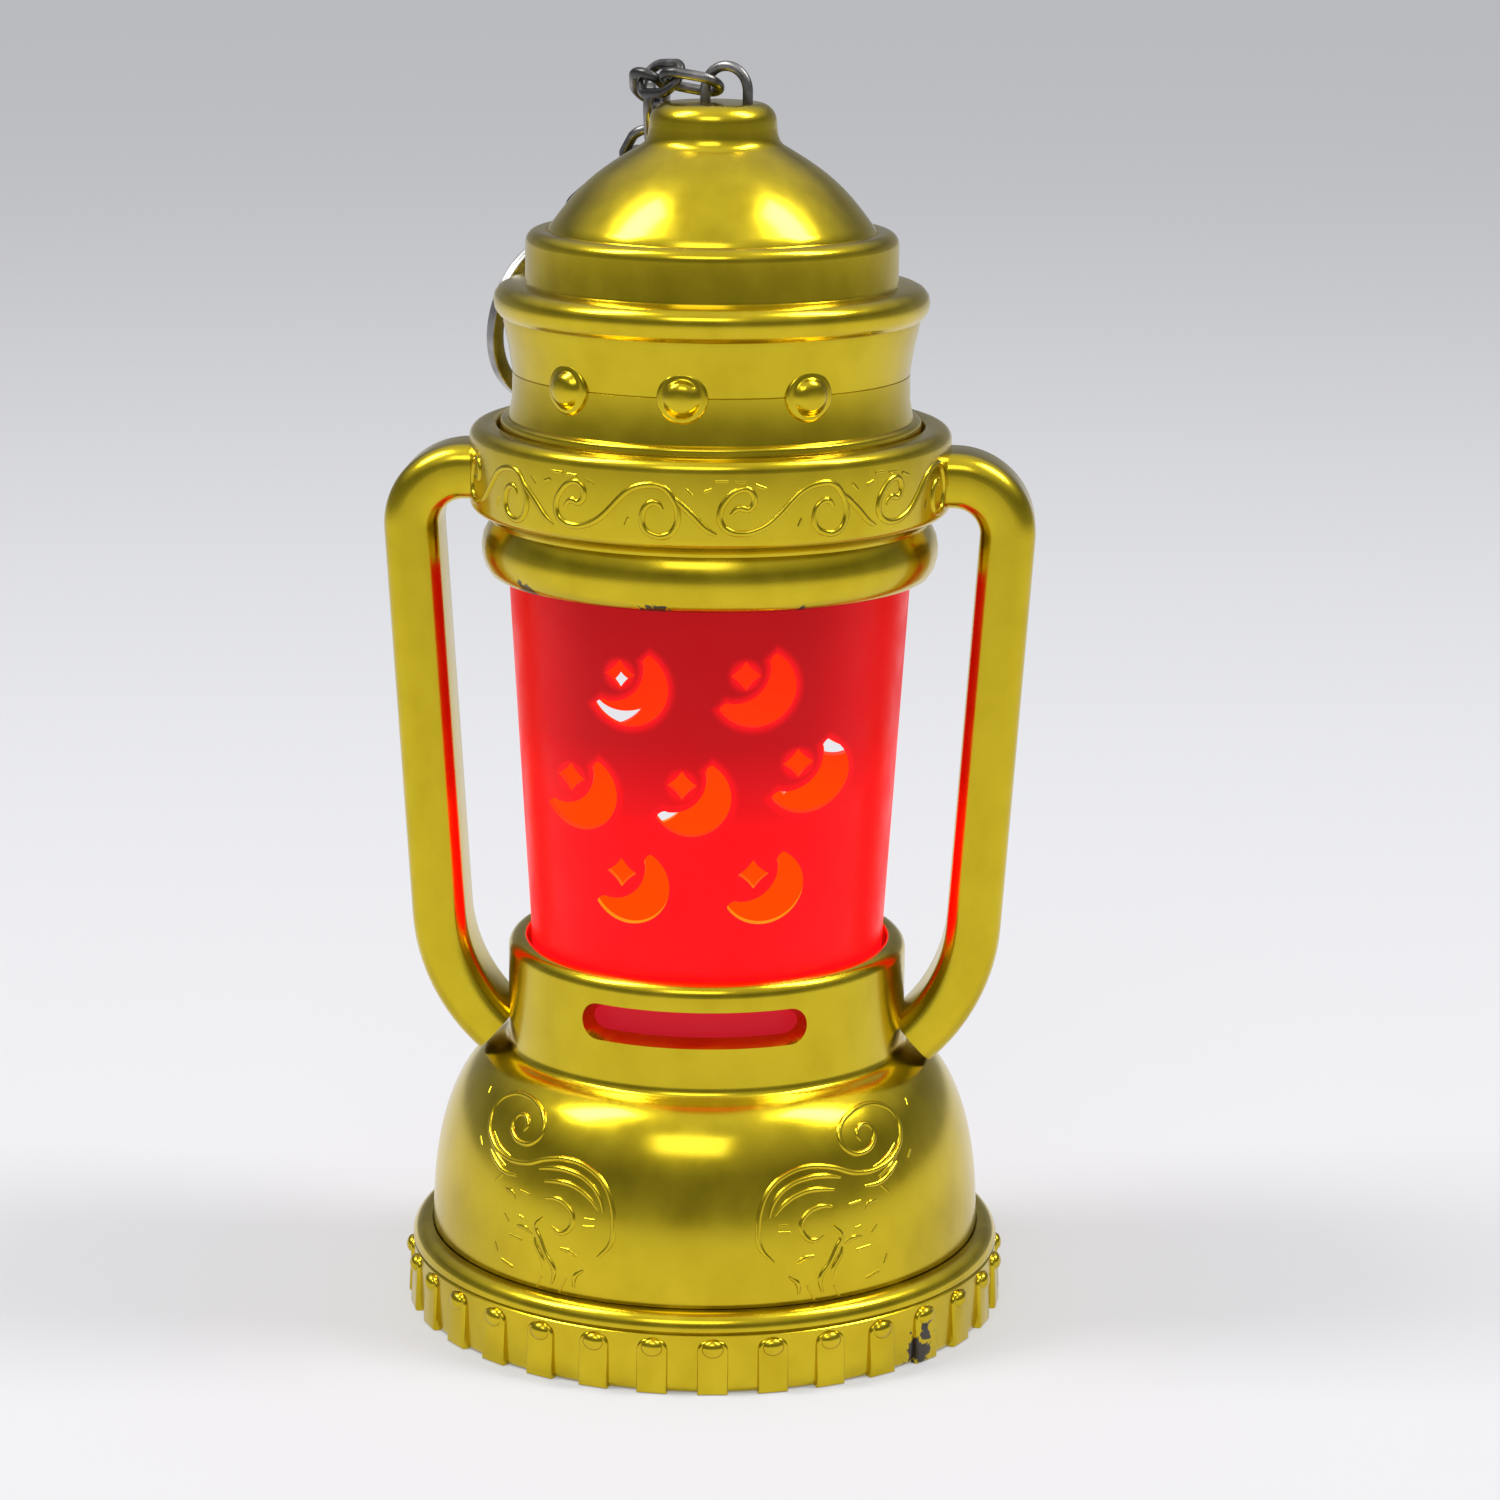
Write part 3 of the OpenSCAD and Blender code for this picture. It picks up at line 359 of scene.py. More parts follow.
steps_up = 30
curve = []
for i in range(steps_up + 1):
    a = math.pi / 2 * i / steps_up
    r = bell_core + bell_reach * math.cos(a) ** (2 / bell_power)
    if r > bell_end:
        curve.append((r, bell_foot + bell_rise * math.sin(a) ** (2 / bell_power)))
drum_radius = 15.85
drum_side = [(drum_radius, 21.6), (drum_radius, 30.0), (14.35, 30.0), (14.35, 21.9), (12.15, 21.9),
             (12.15, 20.7), (15.4, 20.7)]
inside = [(r - 1.4, z - 1.0) for r, z in reversed(curve) if z < 19.0] + [(20.6, bell_foot)]
foot_outline = curve + drum_side + inside
first_drum = len(curve)
foot_rounds = ((first_drum, 0.3, 3), (first_drum + 1, 1.1, 7), (first_drum + 2, 0.3, 3), (0, 0.25, 2))
drum = piece("bell_and_drum", turned(foot_outline, rounds=foot_rounds, steps=256, closed=True), gold_frame)

# Its slot: a flat shape with round ends, led inwards in three steps so that the
# mouth narrows like a moulded one, and then wrapped round the drum and cut out.
slot_level, slot_half, slot_round, straight_share = 26.43, 9.2, 1.45, 0.7
slot_cut = bmesh.new()
bmesh.ops.create_grid(slot_cut, x_segments=48, y_segments=1, size=1.0)
for v in slot_cut.verts:
    along, up = v.co.x, v.co.y
    turn = max(abs(along) - straight_share, 0.0) / 0.3 * math.radians(85)
    reach = (slot_half - slot_round) * min(abs(along) / straight_share, 1.0) + slot_round * math.sin(turn)
    rise = slot_round * math.cos(turn) * math.copysign(1.0, up)
    v.co = Vector((math.copysign(reach, along), rise, -1.0)) * MM
sheet = slot_cut.faces[:]
for inward, height in ((1.0, 1.0), (1.5, 0.66), (1.2, 1.0)):
    grown = bmesh.ops.extrude_face_region(slot_cut, geom=sheet)["geom"]
    if inward > 1.0:
        bmesh.ops.delete(slot_cut, geom=sheet, context="FACES_ONLY")
    ahead = [g for g in grown if isinstance(g, bmesh.types.BMVert)]
    sheet = [g for g in grown if isinstance(g, bmesh.types.BMFace)]
    bmesh.ops.scale(slot_cut, vec=(1, height, 1), verts=ahead)
    bmesh.ops.translate(slot_cut, vec=(0, 0, inward * MM), verts=ahead)
for v in slot_cut.verts:
    along, up, inward = v.co / MM
    turn, reach = along / drum_radius, drum_radius - inward
    v.co = Vector((reach * math.sin(turn), -reach * math.cos(turn), slot_level + up)) * MM
cut_away(drum, slot_cut)
soften(drum, 0.14, angle=40, cuts=3)
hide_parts("body_frame")

# Frame, head: the collar has a rounded bead, a cove and a straight band that
# carries a low vine scroll. Its inner ledge holds the sleeve's flange.
collar_radius = 18.75
collar_outline = [(15.95, 59.3), (16.9, 59.3), (17.25, 59.5), (17.62, 60.1), (17.82, 60.9), (17.84, 61.6),
                  (17.7, 62.4), (17.35, 63.1), (17.1, 63.5), (17.25, 63.95), (18.35, 64.4),
                  (collar_radius, 64.8), (collar_radius, 71.0), (16.65, 71.0), (16.65, 61.0), (15.95, 61.0)]
collar_rounds = ((12, 1.0, 7), (13, 0.15, 2), (9, 0.3, 3), (10, 0.15, 2), (11, 0.25, 3))
collar = piece("collar", turned(collar_outline, rounds=collar_rounds, steps=256, closed=True), gold_frame)

# Frame, ornament: thin raised lines sunk a little into the faces, a vine that
# runs round the collar and a spray on each quarter of the bell.
line_sunk = 0.10


def relief_lines(name, strokes, spot, thick, turns):
    """Raised lines of an ornament: strokes are lists of (turn in degrees, height in mm), thin at their ends."""
    line = bpy.data.curves.new(name, "CURVE")
    line.dimensions = "3D"
    line.bevel_depth = thick * MM
    line.bevel_resolution = 2
    line.resolution_u = 6
    line.use_fill_caps = True
    for turn, mirror in turns:
        for stroke in strokes:
            path = line.splines.new("BEZIER")
            path.bezier_points.add(len(stroke) - 1)
            for k, (angle, height) in enumerate(stroke):
                point = path.bezier_points[k]
                point.co = spot(turn + mirror * angle, height)
                point.handle_left_type = point.handle_right_type = "AUTO"
                point.radius = 0.6 if k in (0, len(stroke) - 1) else 1.0
    holder = bpy.data.objects.new(name, line)
    bpy.context.scene.collection.objects.link(holder)
    bpy.context.view_layer.update()
    mesh = bpy.data.meshes.new_from_object(holder.evaluated_get(bpy.context.evaluated_depsgraph_get()))
    bpy.data.objects.remove(holder)
    bpy.data.curves.remove(line)
    bm = bmesh.new()
    bm.from_mesh(mesh)
    bpy.data.meshes.remove(mesh)
    bmesh.ops.remove_doubles(bm, verts=bm.verts, dist=1e-7)
    bmesh.ops.recalc_face_normals(bm, faces=bm.faces)
    return bm


def on_collar(angle, height):
    """A place just under the collar band's face, turned from the front."""
    a, r = math.radians(angle), collar_radius - line_sunk
    return Vector((r * math.sin(a), -r * math.cos(a), height)) * MM


def on_bell(angle, height):
    """A place just under the bell's face, turned from the front."""
    fall = (bell_radius(height - 0.05) - bell_radius(height + 0.05)) / 0.1
    inward = line_sunk / math.hypot(1.0, fall)
    a, r = math.radians(angle), bell_radius(height) - inward
    return Vector((r * math.sin(a), -r * math.cos(a), height - inward * fall)) * MM


vine = [
    [(8.6, 67.0), (10.4, 67.5), (12.6, 67.4), (13.9, 67.9), (12.9, 68.8), (10.2, 68.8), (7.6, 68.1),
     (6.3, 67.3), (6.4, 66.4), (8.2, 65.8), (11.5, 65.6), (14.5, 65.8), (17.6, 66.3), (20.7, 67.2),
     (23.0, 68.0), (25.6, 68.7), (29.5, 69.1), (33.0, 69.0), (35.4, 68.2), (36.6, 67.1), (36.2, 66.1),
     (34.2, 65.4), (31.0, 65.4), (28.8, 65.9), (28.4, 66.8), (29.6, 67.6), (31.8, 67.8), (33.2, 67.3)],
    [(34.5, 68.5), (37.1, 67.8), (40.1, 66.9), (43.2, 65.9), (45.4, 65.5)], [(2.6, 68.7), (4.4, 68.9)],
    [(5.0, 69.5), (8.0, 69.5)], [(9.4, 69.4), (12.0, 69.4)], [(14.2, 69.2), (16.6, 68.9)],
    [(38.2, 68.9), (39.8, 68.4)], [(24.4, 66.0), (25.2, 66.6)],
]
vine_turns = [(half + step, 1) for half in (0, 180) for step in (-80, -40, 0, 40)]
scroll = piece("collar_scroll", relief_lines("vine", vine, on_collar, 0.29, vine_turns), gold_frame,
               smooth_angle=60)

flourish = [
    [(41.2, 17.7), (40.7, 18.2), (42.1, 18.7), (44.4, 18.7), (45.5, 18.1), (43.9, 17.3), (40.2, 16.9),
     (37.3, 17.2), (35.8, 18.0), (37.0, 19.0), (40.5, 19.6), (46.1, 19.9), (51.2, 19.6), (54.0, 18.7),
     (53.4, 17.5), (50.1, 16.3), (45.2, 15.6), (38.1, 15.6), (32.4, 16.3), (26.5, 16.6), (21.4, 16.2),
     (17.7, 15.3), (15.7, 14.0), (14.9, 12.4), (15.3, 10.9), (18.0, 9.7)],
    [(42.8, 15.7), (46.6, 16.1), (50.4, 16.9)], [(43.7, 14.9), (46.9, 15.4), (49.9, 16.0)],
    [(39.6, 14.5), (43.7, 14.5), (47.1, 15.0), (49.7, 15.6)], [(54.9, 16.1), (53.3, 15.6)],
    [(60.5, 19.4), (59.8, 19.0)],
    [(34.0, 15.5), (30.1, 15.8), (26.2, 15.8), (21.9, 15.4), (18.8, 14.5), (17.2, 13.2)],
    [(32.0, 14.7), (28.1, 14.9), (24.7, 14.8), (20.9, 14.2), (18.4, 13.3)],
    [(31.2, 13.5), (28.1, 13.6), (25.4, 13.2), (24.0, 12.5), (24.5, 11.6), (26.6, 11.1), (28.9, 11.4)],
    [(19.1, 12.5), (21.3, 12.5)], [(19.0, 12.0), (21.6, 11.9)],
    [(31.2, 12.0), (32.9, 11.1), (31.8, 10.4), (30.2, 9.3), (27.9, 8.1), (28.3, 6.9)],
    [(33.0, 10.3), (32.5, 9.7), (30.9, 8.8), (30.3, 8.0)], [(33.4, 10.5), (35.4, 10.8), (37.9, 10.8)],
    [(36.3, 9.8), (39.8, 9.9)], [(38.6, 7.4), (41.9, 7.7)], [(44.1, 8.9), (43.2, 8.2)],
    [(39.0, 12.8), (40.2, 13.2), (42.4, 13.3)], [(43.8, 14.3), (45.8, 13.6)], [(35.2, 13.4), (38.1, 13.5)],
    [(36.3, 11.5), (37.6, 11.6)], [(40.2, 10.9), (41.8, 11.4)], [(22.7, 9.5), (24.3, 9.8), (26.5, 9.9)],
    [(21.1, 8.5), (22.9, 7.9), (23.2, 7.0)], [(25.0, 7.6), (26.5, 6.4)], [(30.9, 7.3), (32.1, 6.4)],
]
spray_turns = [(half, mirror) for half in (0, 180) for mirror in (1, -1)]
spray = piece("bell_flourish", relief_lines("flourish", flourish, on_bell, 0.25, spray_turns), gold_frame,
              smooth_angle=60)

# Frame, arms: flat straps from the collar's band out and down to the drum, well
# rounded on the inner corners, each bent in once more at its foot.
arm_root, arm_level, arm_out = 16.9, 67.15, 2.15
arm_run, arm_lean, shoulder_bend, foot_bend, foot_turn = 31.2, 3.6, 4.2, 14, 44.4
inner_round, outer_round = 1.45, 1.6


def side_arm(side):
    """One arm: its rounded section run out of the collar, round the shoulder, down and in to the drum."""
    bm = bmesh.new()
    half_w, half_d = 2.15, 3.5
    corners = [bm.verts.new((arm_root * MM, y * MM, (arm_level + z) * MM))
               for y, z in ((-half_d, -half_w), (half_d, -half_w), (half_d, half_w), (-half_d, half_w))]
    bm.faces.new(corners)
    bmesh.ops.bevel(bm, geom=corners[:2], offset=inner_round * MM, offset_type="OFFSET", segments=7,
                    profile=0.5, affect="VERTICES", material=-1)
    top = [v for v in bm.verts if v.co.z > arm_level * MM]
    bmesh.ops.bevel(bm, geom=top, offset=outer_round * MM, offset_type="OFFSET", segments=6,
                    profile=0.5, affect="VERTICES", material=-1)

    def lead(edges):
        for e in bm.edges:
            e.tag = False
        for e in edges:
            e.tag = True

    def onward(vec):
        made = bmesh.ops.extrude_edge_only(bm, edges=[e for e in bm.edges if e.tag])["geom"]
        moved = [g for g in made if isinstance(g, bmesh.types.BMVert)]
        bmesh.ops.translate(bm, vec=Vector(vec) * MM, verts=moved)
        lead([g for g in made if isinstance(g, bmesh.types.BMEdge) and all(v in set(moved) for v in g.verts)])

    def round_bend(centre, degrees, steps):
        made = bmesh.ops.spin(bm, geom=[e for e in bm.edges if e.tag], cent=Vector(centre) * MM, axis=(0, 1, 0),
                              dvec=(0, 0, 0), angle=math.radians(degrees), steps=steps, use_merge=False,
                              use_duplicate=False)
        lead([g for g in made["geom_last"] if isinstance(g, bmesh.types.BMEdge)])

    lead(bm.edges)
    lean = math.radians(arm_lean)
    shoulder_x, shoulder_z = arm_root + arm_out, arm_level - shoulder_bend
    onward((arm_out, 0, 0))
    round_bend((shoulder_x, 0, shoulder_z), 90 + arm_lean, 20)
    onward((-arm_run * math.sin(lean), 0, -arm_run * math.cos(lean)))
    foot_x = shoulder_x + shoulder_bend * math.cos(lean) - arm_run * math.sin(lean) - foot_bend * math.cos(lean)
    foot_z = shoulder_z - shoulder_bend * math.sin(lean) - arm_run * math.cos(lean) + foot_bend * math.sin(lean)
    round_bend((foot_x, 0, foot_z), foot_turn, 16)
    bmesh.ops.holes_fill(bm, edges=[e for e in bm.edges if e.tag], sides=0)
    if side < 0:
        bmesh.ops.scale(bm, vec=(-1, 1, 1), verts=bm.verts)
    bmesh.ops.recalc_face_normals(bm, faces=bm.faces)
    return bm


for label, side in (("arm_right", 1), ("arm_left", -1)):
    arm = piece(label, side_arm(side), gold_frame, smooth_angle=30)

# Sleeve: one translucent red moulding, tapered, pierced by crescents and
# stars at the front and the back. Its glow is painted light, an emission brightest near the foot.
sleeve_low, sleeve_high = (13.45, 20.9), (15.75, 59.3)
sleeve_slope = (sleeve_high[0] - sleeve_low[0]) / (sleeve_high[1] - sleeve_low[1])
sleeve_wall = 0.9
moon_radius, bite_radius, bite_shift, tip_turn = 3.1, 2.7, 2.1, math.radians(79)
star_radius, star_heart, star_shift = 1.12, 0.8, (-0.63, 0.95)
moon_places = ((-5.12, 52.97), (4.47, 53.18), (-9.12, 44.18), (-0.32, 44.56), (8.38, 46.06), (-5.02, 37.27),
               (5.09, 37.47))
back_slack, back_aside, back_higher = 0.38, 0.3, 0.7
# Painted glow round each cut-out: its width in mm and its strength.
halo_width, halo_strength = 0.75, 0.55


def lit_sleeve():
    """Red plastic whose glow is painted light, an emission: bright at the foot, deeper above, brighter to the
    sides, with a painted glow round each cut-out.
    """
    finish, tree, shader, skin = over_skin("lit_red_plastic", 0.2)
    place = node(tree, "ShaderNodeTexCoord")
    parts = node(tree, "ShaderNodeSeparateXYZ")
    join(tree, [], (place, "Object", parts, "Vector"))

    def plugged(made, *values):
        for socket, v in values:
            if isinstance(v, bpy.types.NodeSocket):
                tree.links.new(v, made.inputs[socket])
            else:
                made.inputs[socket].default_value = v
        return made

    def worked(kind, *values):
        return plugged(node(tree, "ShaderNodeMath", operation=kind), *enumerate(values)).outputs[0]

    def between(value, low, high, start=0.0, end=1.0):
        made = node(tree, "ShaderNodeMapRange", interpolation_type="SMOOTHSTEP")
        return plugged(made, ("From Min", low), ("From Max", high), ("To Min", start), ("To Max", end),
                       ("Value", value)).outputs["Result"]

    def blended(share, first, second):
        made = node(tree, "ShaderNodeMix", data_type="RGBA")
        return plugged(made, (0, share), (6, first), (7, second)).outputs[2]

    def shaded(value, stops):
        return plugged(ramp(tree, stops), ("Fac", value)).outputs["Color"]

    x, y, z = (parts.outputs[i] for i in range(3))
    radius = worked("SQRT", worked("ADD", worked("MULTIPLY", x, x), worked("MULTIPLY", y, y)))
    base_radius = (sleeve_low[0] - sleeve_slope * sleeve_low[1]) * MM
    skin_radius = worked("ADD", worked("MULTIPLY", z, sleeve_slope), base_radius)
    depth = worked("DIVIDE", worked("SUBTRACT", skin_radius, radius), sleeve_wall * MM)
    level = between(z, 0.0215, 0.0593)
    # Painted light: the outer face's emission glow by height, bright near the foot and deeper above.
    outside = shaded(level, [(0.0, (0.42, 0.010, 0.020)), (0.06, (0.50, 0.010, 0.020)),
                             (0.13, (1.8, 0.003, 0.006)), (0.42, (1.6, 0.002, 0.005)),
                             (0.60, (0.80, 0.002, 0.005)), (0.80, (0.45, 0.002, 0.005)),
                             (1.0, (0.38, 0.002, 0.004))])
    # Painted light: the inner face's orange glow, seen through the cut-outs, fading higher up.
    inside = shaded(level, [(0.0, (1.6, 0.075, 0.001)), (0.45, (1.6, 0.060, 0.002)),
                            (0.62, (1.4, 0.042, 0.004)), (0.9, (1.2, 0.026, 0.005)),
                            (1.0, (0.70, 0.012, 0.006))])
    # Painted light: the cut walls' yellow-orange glow, brightest low down.
    painted_wall_glow = shaded(level, [(0.0, (1.8, 0.40, 0.006)), (0.30, (1.6, 0.26, 0.006)), (0.42, (1.4, 0.10, 0.006)),
                           (0.55, (1.0, 0.045, 0.006)), (1.0, (0.98, 0.025, 0.006))])
    # Distances to the crescents and stars, for the painted glow round them, are
    # taken in the flat, seen from outside, with the back ones where their cut-outs are.
    behind = worked("GREATER_THAN", y, 0.0)
    across = worked("MULTIPLY", x, worked("MULTIPLY", worked("SIGN", y), -1.0))
    across = worked("SUBTRACT", across, worked("MULTIPLY", behind, back_aside * MM))
    z = worked("SUBTRACT", z, worked("MULTIPLY", behind, back_higher * MM))
    flat = plugged(node(tree, "ShaderNodeCombineXYZ"), ("X", across), ("Y", z)).outputs["Vector"]

    def away(cx, cz):
        gap = node(tree, "ShaderNodeVectorMath", operation="DISTANCE")
        return plugged(gap, (0, flat), (1, (cx * MM, cz * MM, 0))).outputs["Value"]

    nearest, bite_side, diagonal = None, bite_shift * math.sin(math.radians(45)), math.sqrt(0.5)
    slant = worked("SUBTRACT", worked("MULTIPLY", z, diagonal), worked("MULTIPLY", across, diagonal))
    for cx, cz in moon_places:
        past_back = worked("SUBTRACT", away(cx, cz), moon_radius * MM)
        past_bite = worked("SUBTRACT", bite_radius * MM, away(cx - bite_side, cz + bite_side))
        past_tips = worked("SUBTRACT", slant, ((cz - cx) * diagonal + moon_radius * math.cos(tip_turn)) * MM)
        past_star = worked("SUBTRACT", away(cx + star_shift[0], cz + star_shift[1]), star_heart * MM)
        past_moon = worked("MAXIMUM", worked("MAXIMUM", past_back, past_bite), past_tips)
        past = worked("MINIMUM", past_moon, past_star)
        nearest = past if nearest is None else worked("MINIMUM", nearest, past)
    # Painted light: a brighter red glow round each crescent and star.
    painted_halo = between(nearest, 0.0, halo_width * MM, halo_strength, 0.0)
    # Painted light: the sleeve's left and right sides glow brighter than its front.
    painted_side_glow = between(worked("DIVIDE", worked("ABSOLUTE", x), radius), 0.5, 0.95, 0.0, 0.30)
    glow = worked("MAXIMUM", painted_halo, painted_side_glow)
    # All painted light: the halos over the outer glow, then the wall glow, then the inner glow.
    painted_glow_with_halos = blended(glow, outside, (1.25, 0.005, 0.009, 1))
    painted_glow_with_walls = blended(between(depth, 0.04, 0.10), painted_glow_with_halos, painted_wall_glow)
    tone = blended(between(depth, 0.90, 0.96), painted_glow_with_walls, inside)
    plugged(skin, ("Wave", 0.7), ("Grain", 0.2))
    # The painted glow goes in as the emission colour.
    plugged(shader, ("Base Color", (0.16, 0.003, 0.004, 1)), ("Specular IOR Level", 0.12),
            ("Emission Strength", 1.0), ("Emission Color", tone),
            ("Roughness", between(skin.outputs["Marks"], 0.3, 0.7, 0.30, 0.45)))
    return finish


def prism(bm, points):
    """Adds a closed prism through the sleeve's front wall: points are (x, z) in mm."""
    start, end = -20.0, -2.0
    face = bm.faces.new([bm.verts.new((x * MM, start * MM, z * MM)) for x, z in points])
    made = bmesh.ops.extrude_face_region(bm, geom=[face])["geom"]
    moved = [g for g in made if isinstance(g, bmesh.types.BMVert)]
    bmesh.ops.translate(bm, vec=(0, (end - start) * MM, 0), verts=moved)


def moon_points(cx, cz, slack):
    """A crescent opening up and to the left, its tips cut off and rounded; slack narrows it all round."""
    toward = math.radians(135)
    bite = Vector((bite_shift * math.cos(toward), bite_shift * math.sin(toward)))
    outer = [toward + tip_turn + (math.tau - 2 * tip_turn) * i / 48 for i in range(49)]
    points = [Vector((math.cos(a), math.sin(a))) * (moon_radius - slack) for a in outer]
    inner = []
    for a in outer:
        ray = Vector((math.cos(a), math.sin(a)))
        along = ray.dot(bite)
        inner.append(ray * (along + math.sqrt(along ** 2 - bite_shift ** 2 + (bite_radius + slack) ** 2)))
    tips = []
    for outside, inside, way in ((points[0], inner[0], -1), (points[-1], inner[-1], 1)):
        half = (outside - inside) / 2
        side = Vector((-half.y, half.x)) * way
        turns = [math.pi * k / 10 for k in range(1, 10)]
        tips.append([inside + half + half * way * math.cos(a) + side * math.sin(a) * 0.5 for a in turns])
    return [(cx + v.x, cz + v.y) for v in tips[0] + points + tips[1] + inner[::-1]]


def star_points(cx, cz, slack):
    """A star with four soft points and hollow sides; slack makes it smaller."""
    points, size = [], star_radius - slack
    for i in range(48):
        a = math.tau * i / 48
        x, z = (math.copysign(min(abs(v) ** 2.5 * size * 1.08, size), v) for v in (math.cos(a), math.sin(a)))
        points.append((cx + star_shift[0] + x, cz + star_shift[1] + z))
    return points


tube = turned([sleeve_low, sleeve_high, (15.75, 61.0), (16.55, 61.0), (16.55, 62.2), (14.85, 62.2),
               (14.85, 59.3), (12.55, 20.9)], steps=256, closed=True)
red_plastic = lit_sleeve()
sleeve = piece("lamp_sleeve_lit", tube, red_plastic)
for slack, aside, higher, turn in ((0.0, 0.0, 0.0, 0.0), (back_slack, back_aside, back_higher, math.pi)):
    piercing = bmesh.new()
    for x, z in moon_places:
        prism(piercing, moon_points(x + aside, z + higher, slack))
        prism(piercing, star_points(x + aside, z + higher, slack))
    bmesh.ops.rotate(piercing, cent=(0, 0, 0), matrix=Matrix.Rotation(turn, 3, "Z"), verts=piercing.verts)
    cut_away(sleeve, piercing)
soften(sleeve, 0.10, angle=45)
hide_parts("lamp_sleeve")

# Cap: a hollow moulding that pushes into the collar, with a waisted neck, three
# studs at the front and the back, a flange bead, a low dome and a knob on top.
gold_cap = gold_film("gold_film_cap")
neck_side = [(16.35, 62.2), (16.35, 71.5), (15.72, 71.62), (15.45, 73.0), (15.42, 74.9), (15.42, 75.05),
             (15.36, 75.1), (15.42, 75.15), (15.43, 75.3), (15.72, 77.2), (16.1, 78.9), (16.12, 79.3)]
flange_side = [(16.45, 79.55), (16.75, 80.0), (16.86, 80.6), (16.76, 81.15), (16.4, 81.6), (15.9, 81.84),
               (15.0, 81.9)]
crown_side = [(14.46, 81.96), (14.4, 82.15), (14.4, 86.0), (12.85, 86.0), (12.72, 85.9)]
dome_foot, dome_head, dome_swell, dome_side = (12.7, 86.0), (5.7, 92.35), 0.62, []
for i in range(13):
    t = i / 12
    bulge = dome_swell * math.sin(math.pi * t)
    dome_side.append((dome_foot[0] + (dome_head[0] - dome_foot[0]) * t + bulge * 0.70,
                      dome_foot[1] + (dome_head[1] - dome_foot[1]) * t + bulge * 0.71))
knob_side = [(5.38, 92.55), (5.14, 92.85), (5.0, 93.3), (4.92, 93.9), (4.78, 95.71), (0, 95.72)]
cap_outline = neck_side + flange_side + crown_side + dome_side + knob_side
knob_rim = len(cap_outline) - 2
crown_rim = len(neck_side) + len(flange_side) + 2
inner_side = [(0, 91.6), (4.85, 91.6), (11.3, 84.7), (13.0, 84.7), (13.0, 82.1), (14.0, 79.2), (14.0, 72.9),
              (14.95, 71.5), (14.95, 62.2)]
cap_rounds = ((1, 0.25, 3), (knob_rim, 1.35, 8), (crown_rim, 1.0, 7))
cap = turned(cap_outline + inner_side, rounds=cap_rounds, steps=256)
bmesh.ops.bridge_loops(cap, edges=[e for e in cap.edges if e.is_boundary])
cap_turn = -4
bmesh.ops.rotate(cap, cent=(0, 0, 0), matrix=Matrix.Rotation(math.radians(cap_turn), 3, "Z"), verts=cap.verts)
bmesh.ops.recalc_face_normals(cap, faces=cap.faces)
cap_piece = piece("cap_and_knob", cap, gold_cap)
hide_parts("top_cap")

stud_seat, stud_level, stud_step = 15.4, 75.1, 36


def one_stud():
    """One stud about the X axis: a low collar with a round head."""
    bm = turned([(0, -0.8), (1.95, -0.8), (1.95, 0.28), (1.5, 0.30), (1.36, 0.42), (1.22, 0.66), (0.88, 0.88),
                 (0.45, 0.98), (0, 1.0)], rounds=((2, 0.25, 3),), steps=40)
    bmesh.ops.rotate(bm, cent=(0, 0, 0), matrix=Matrix.Rotation(math.pi / 2, 3, "Y"), verts=bm.verts)
    bmesh.ops.translate(bm, vec=(stud_seat * MM, 0, stud_level * MM), verts=bm.verts)
    return bm


studs = set_round(one_stud, [face + cap_turn + step * stud_step for face in (0, 180) for step in (-1, 0, 1)])
stud_ring = piece("cap_studs", studs, gold_cap, smooth_angle=50)

# Hanging eye and chain: blackened steel wire, bent into closed loops. The eye
# is pushed into the knob, and each loop hooks through the one before.


def wire_finish(name, tone, worn, rough):
    """Drawn wire with a dark finish that is rubbed bright in patches."""
    finish, tree, shader, skin = over_skin(name, 0.3)
    gloss(tree, skin, shader, rough, rough + 0.2)
    rubbed = ramp(tree, [(0.42, tone), (0.66, worn)])
    join(tree, [(skin, "Wave", 0.5), (skin, "Grain", 0.6), (shader, "Metallic", 1.0)],
         (skin, "Marks", rubbed, "Fac"), (rubbed, "Color", shader, "Base Color"))
    return finish


dark_wire = wire_finish("blackened_wire", (0.07, 0.068, 0.065), (0.30, 0.29, 0.28), 0.28)
wire_thick = 0.8


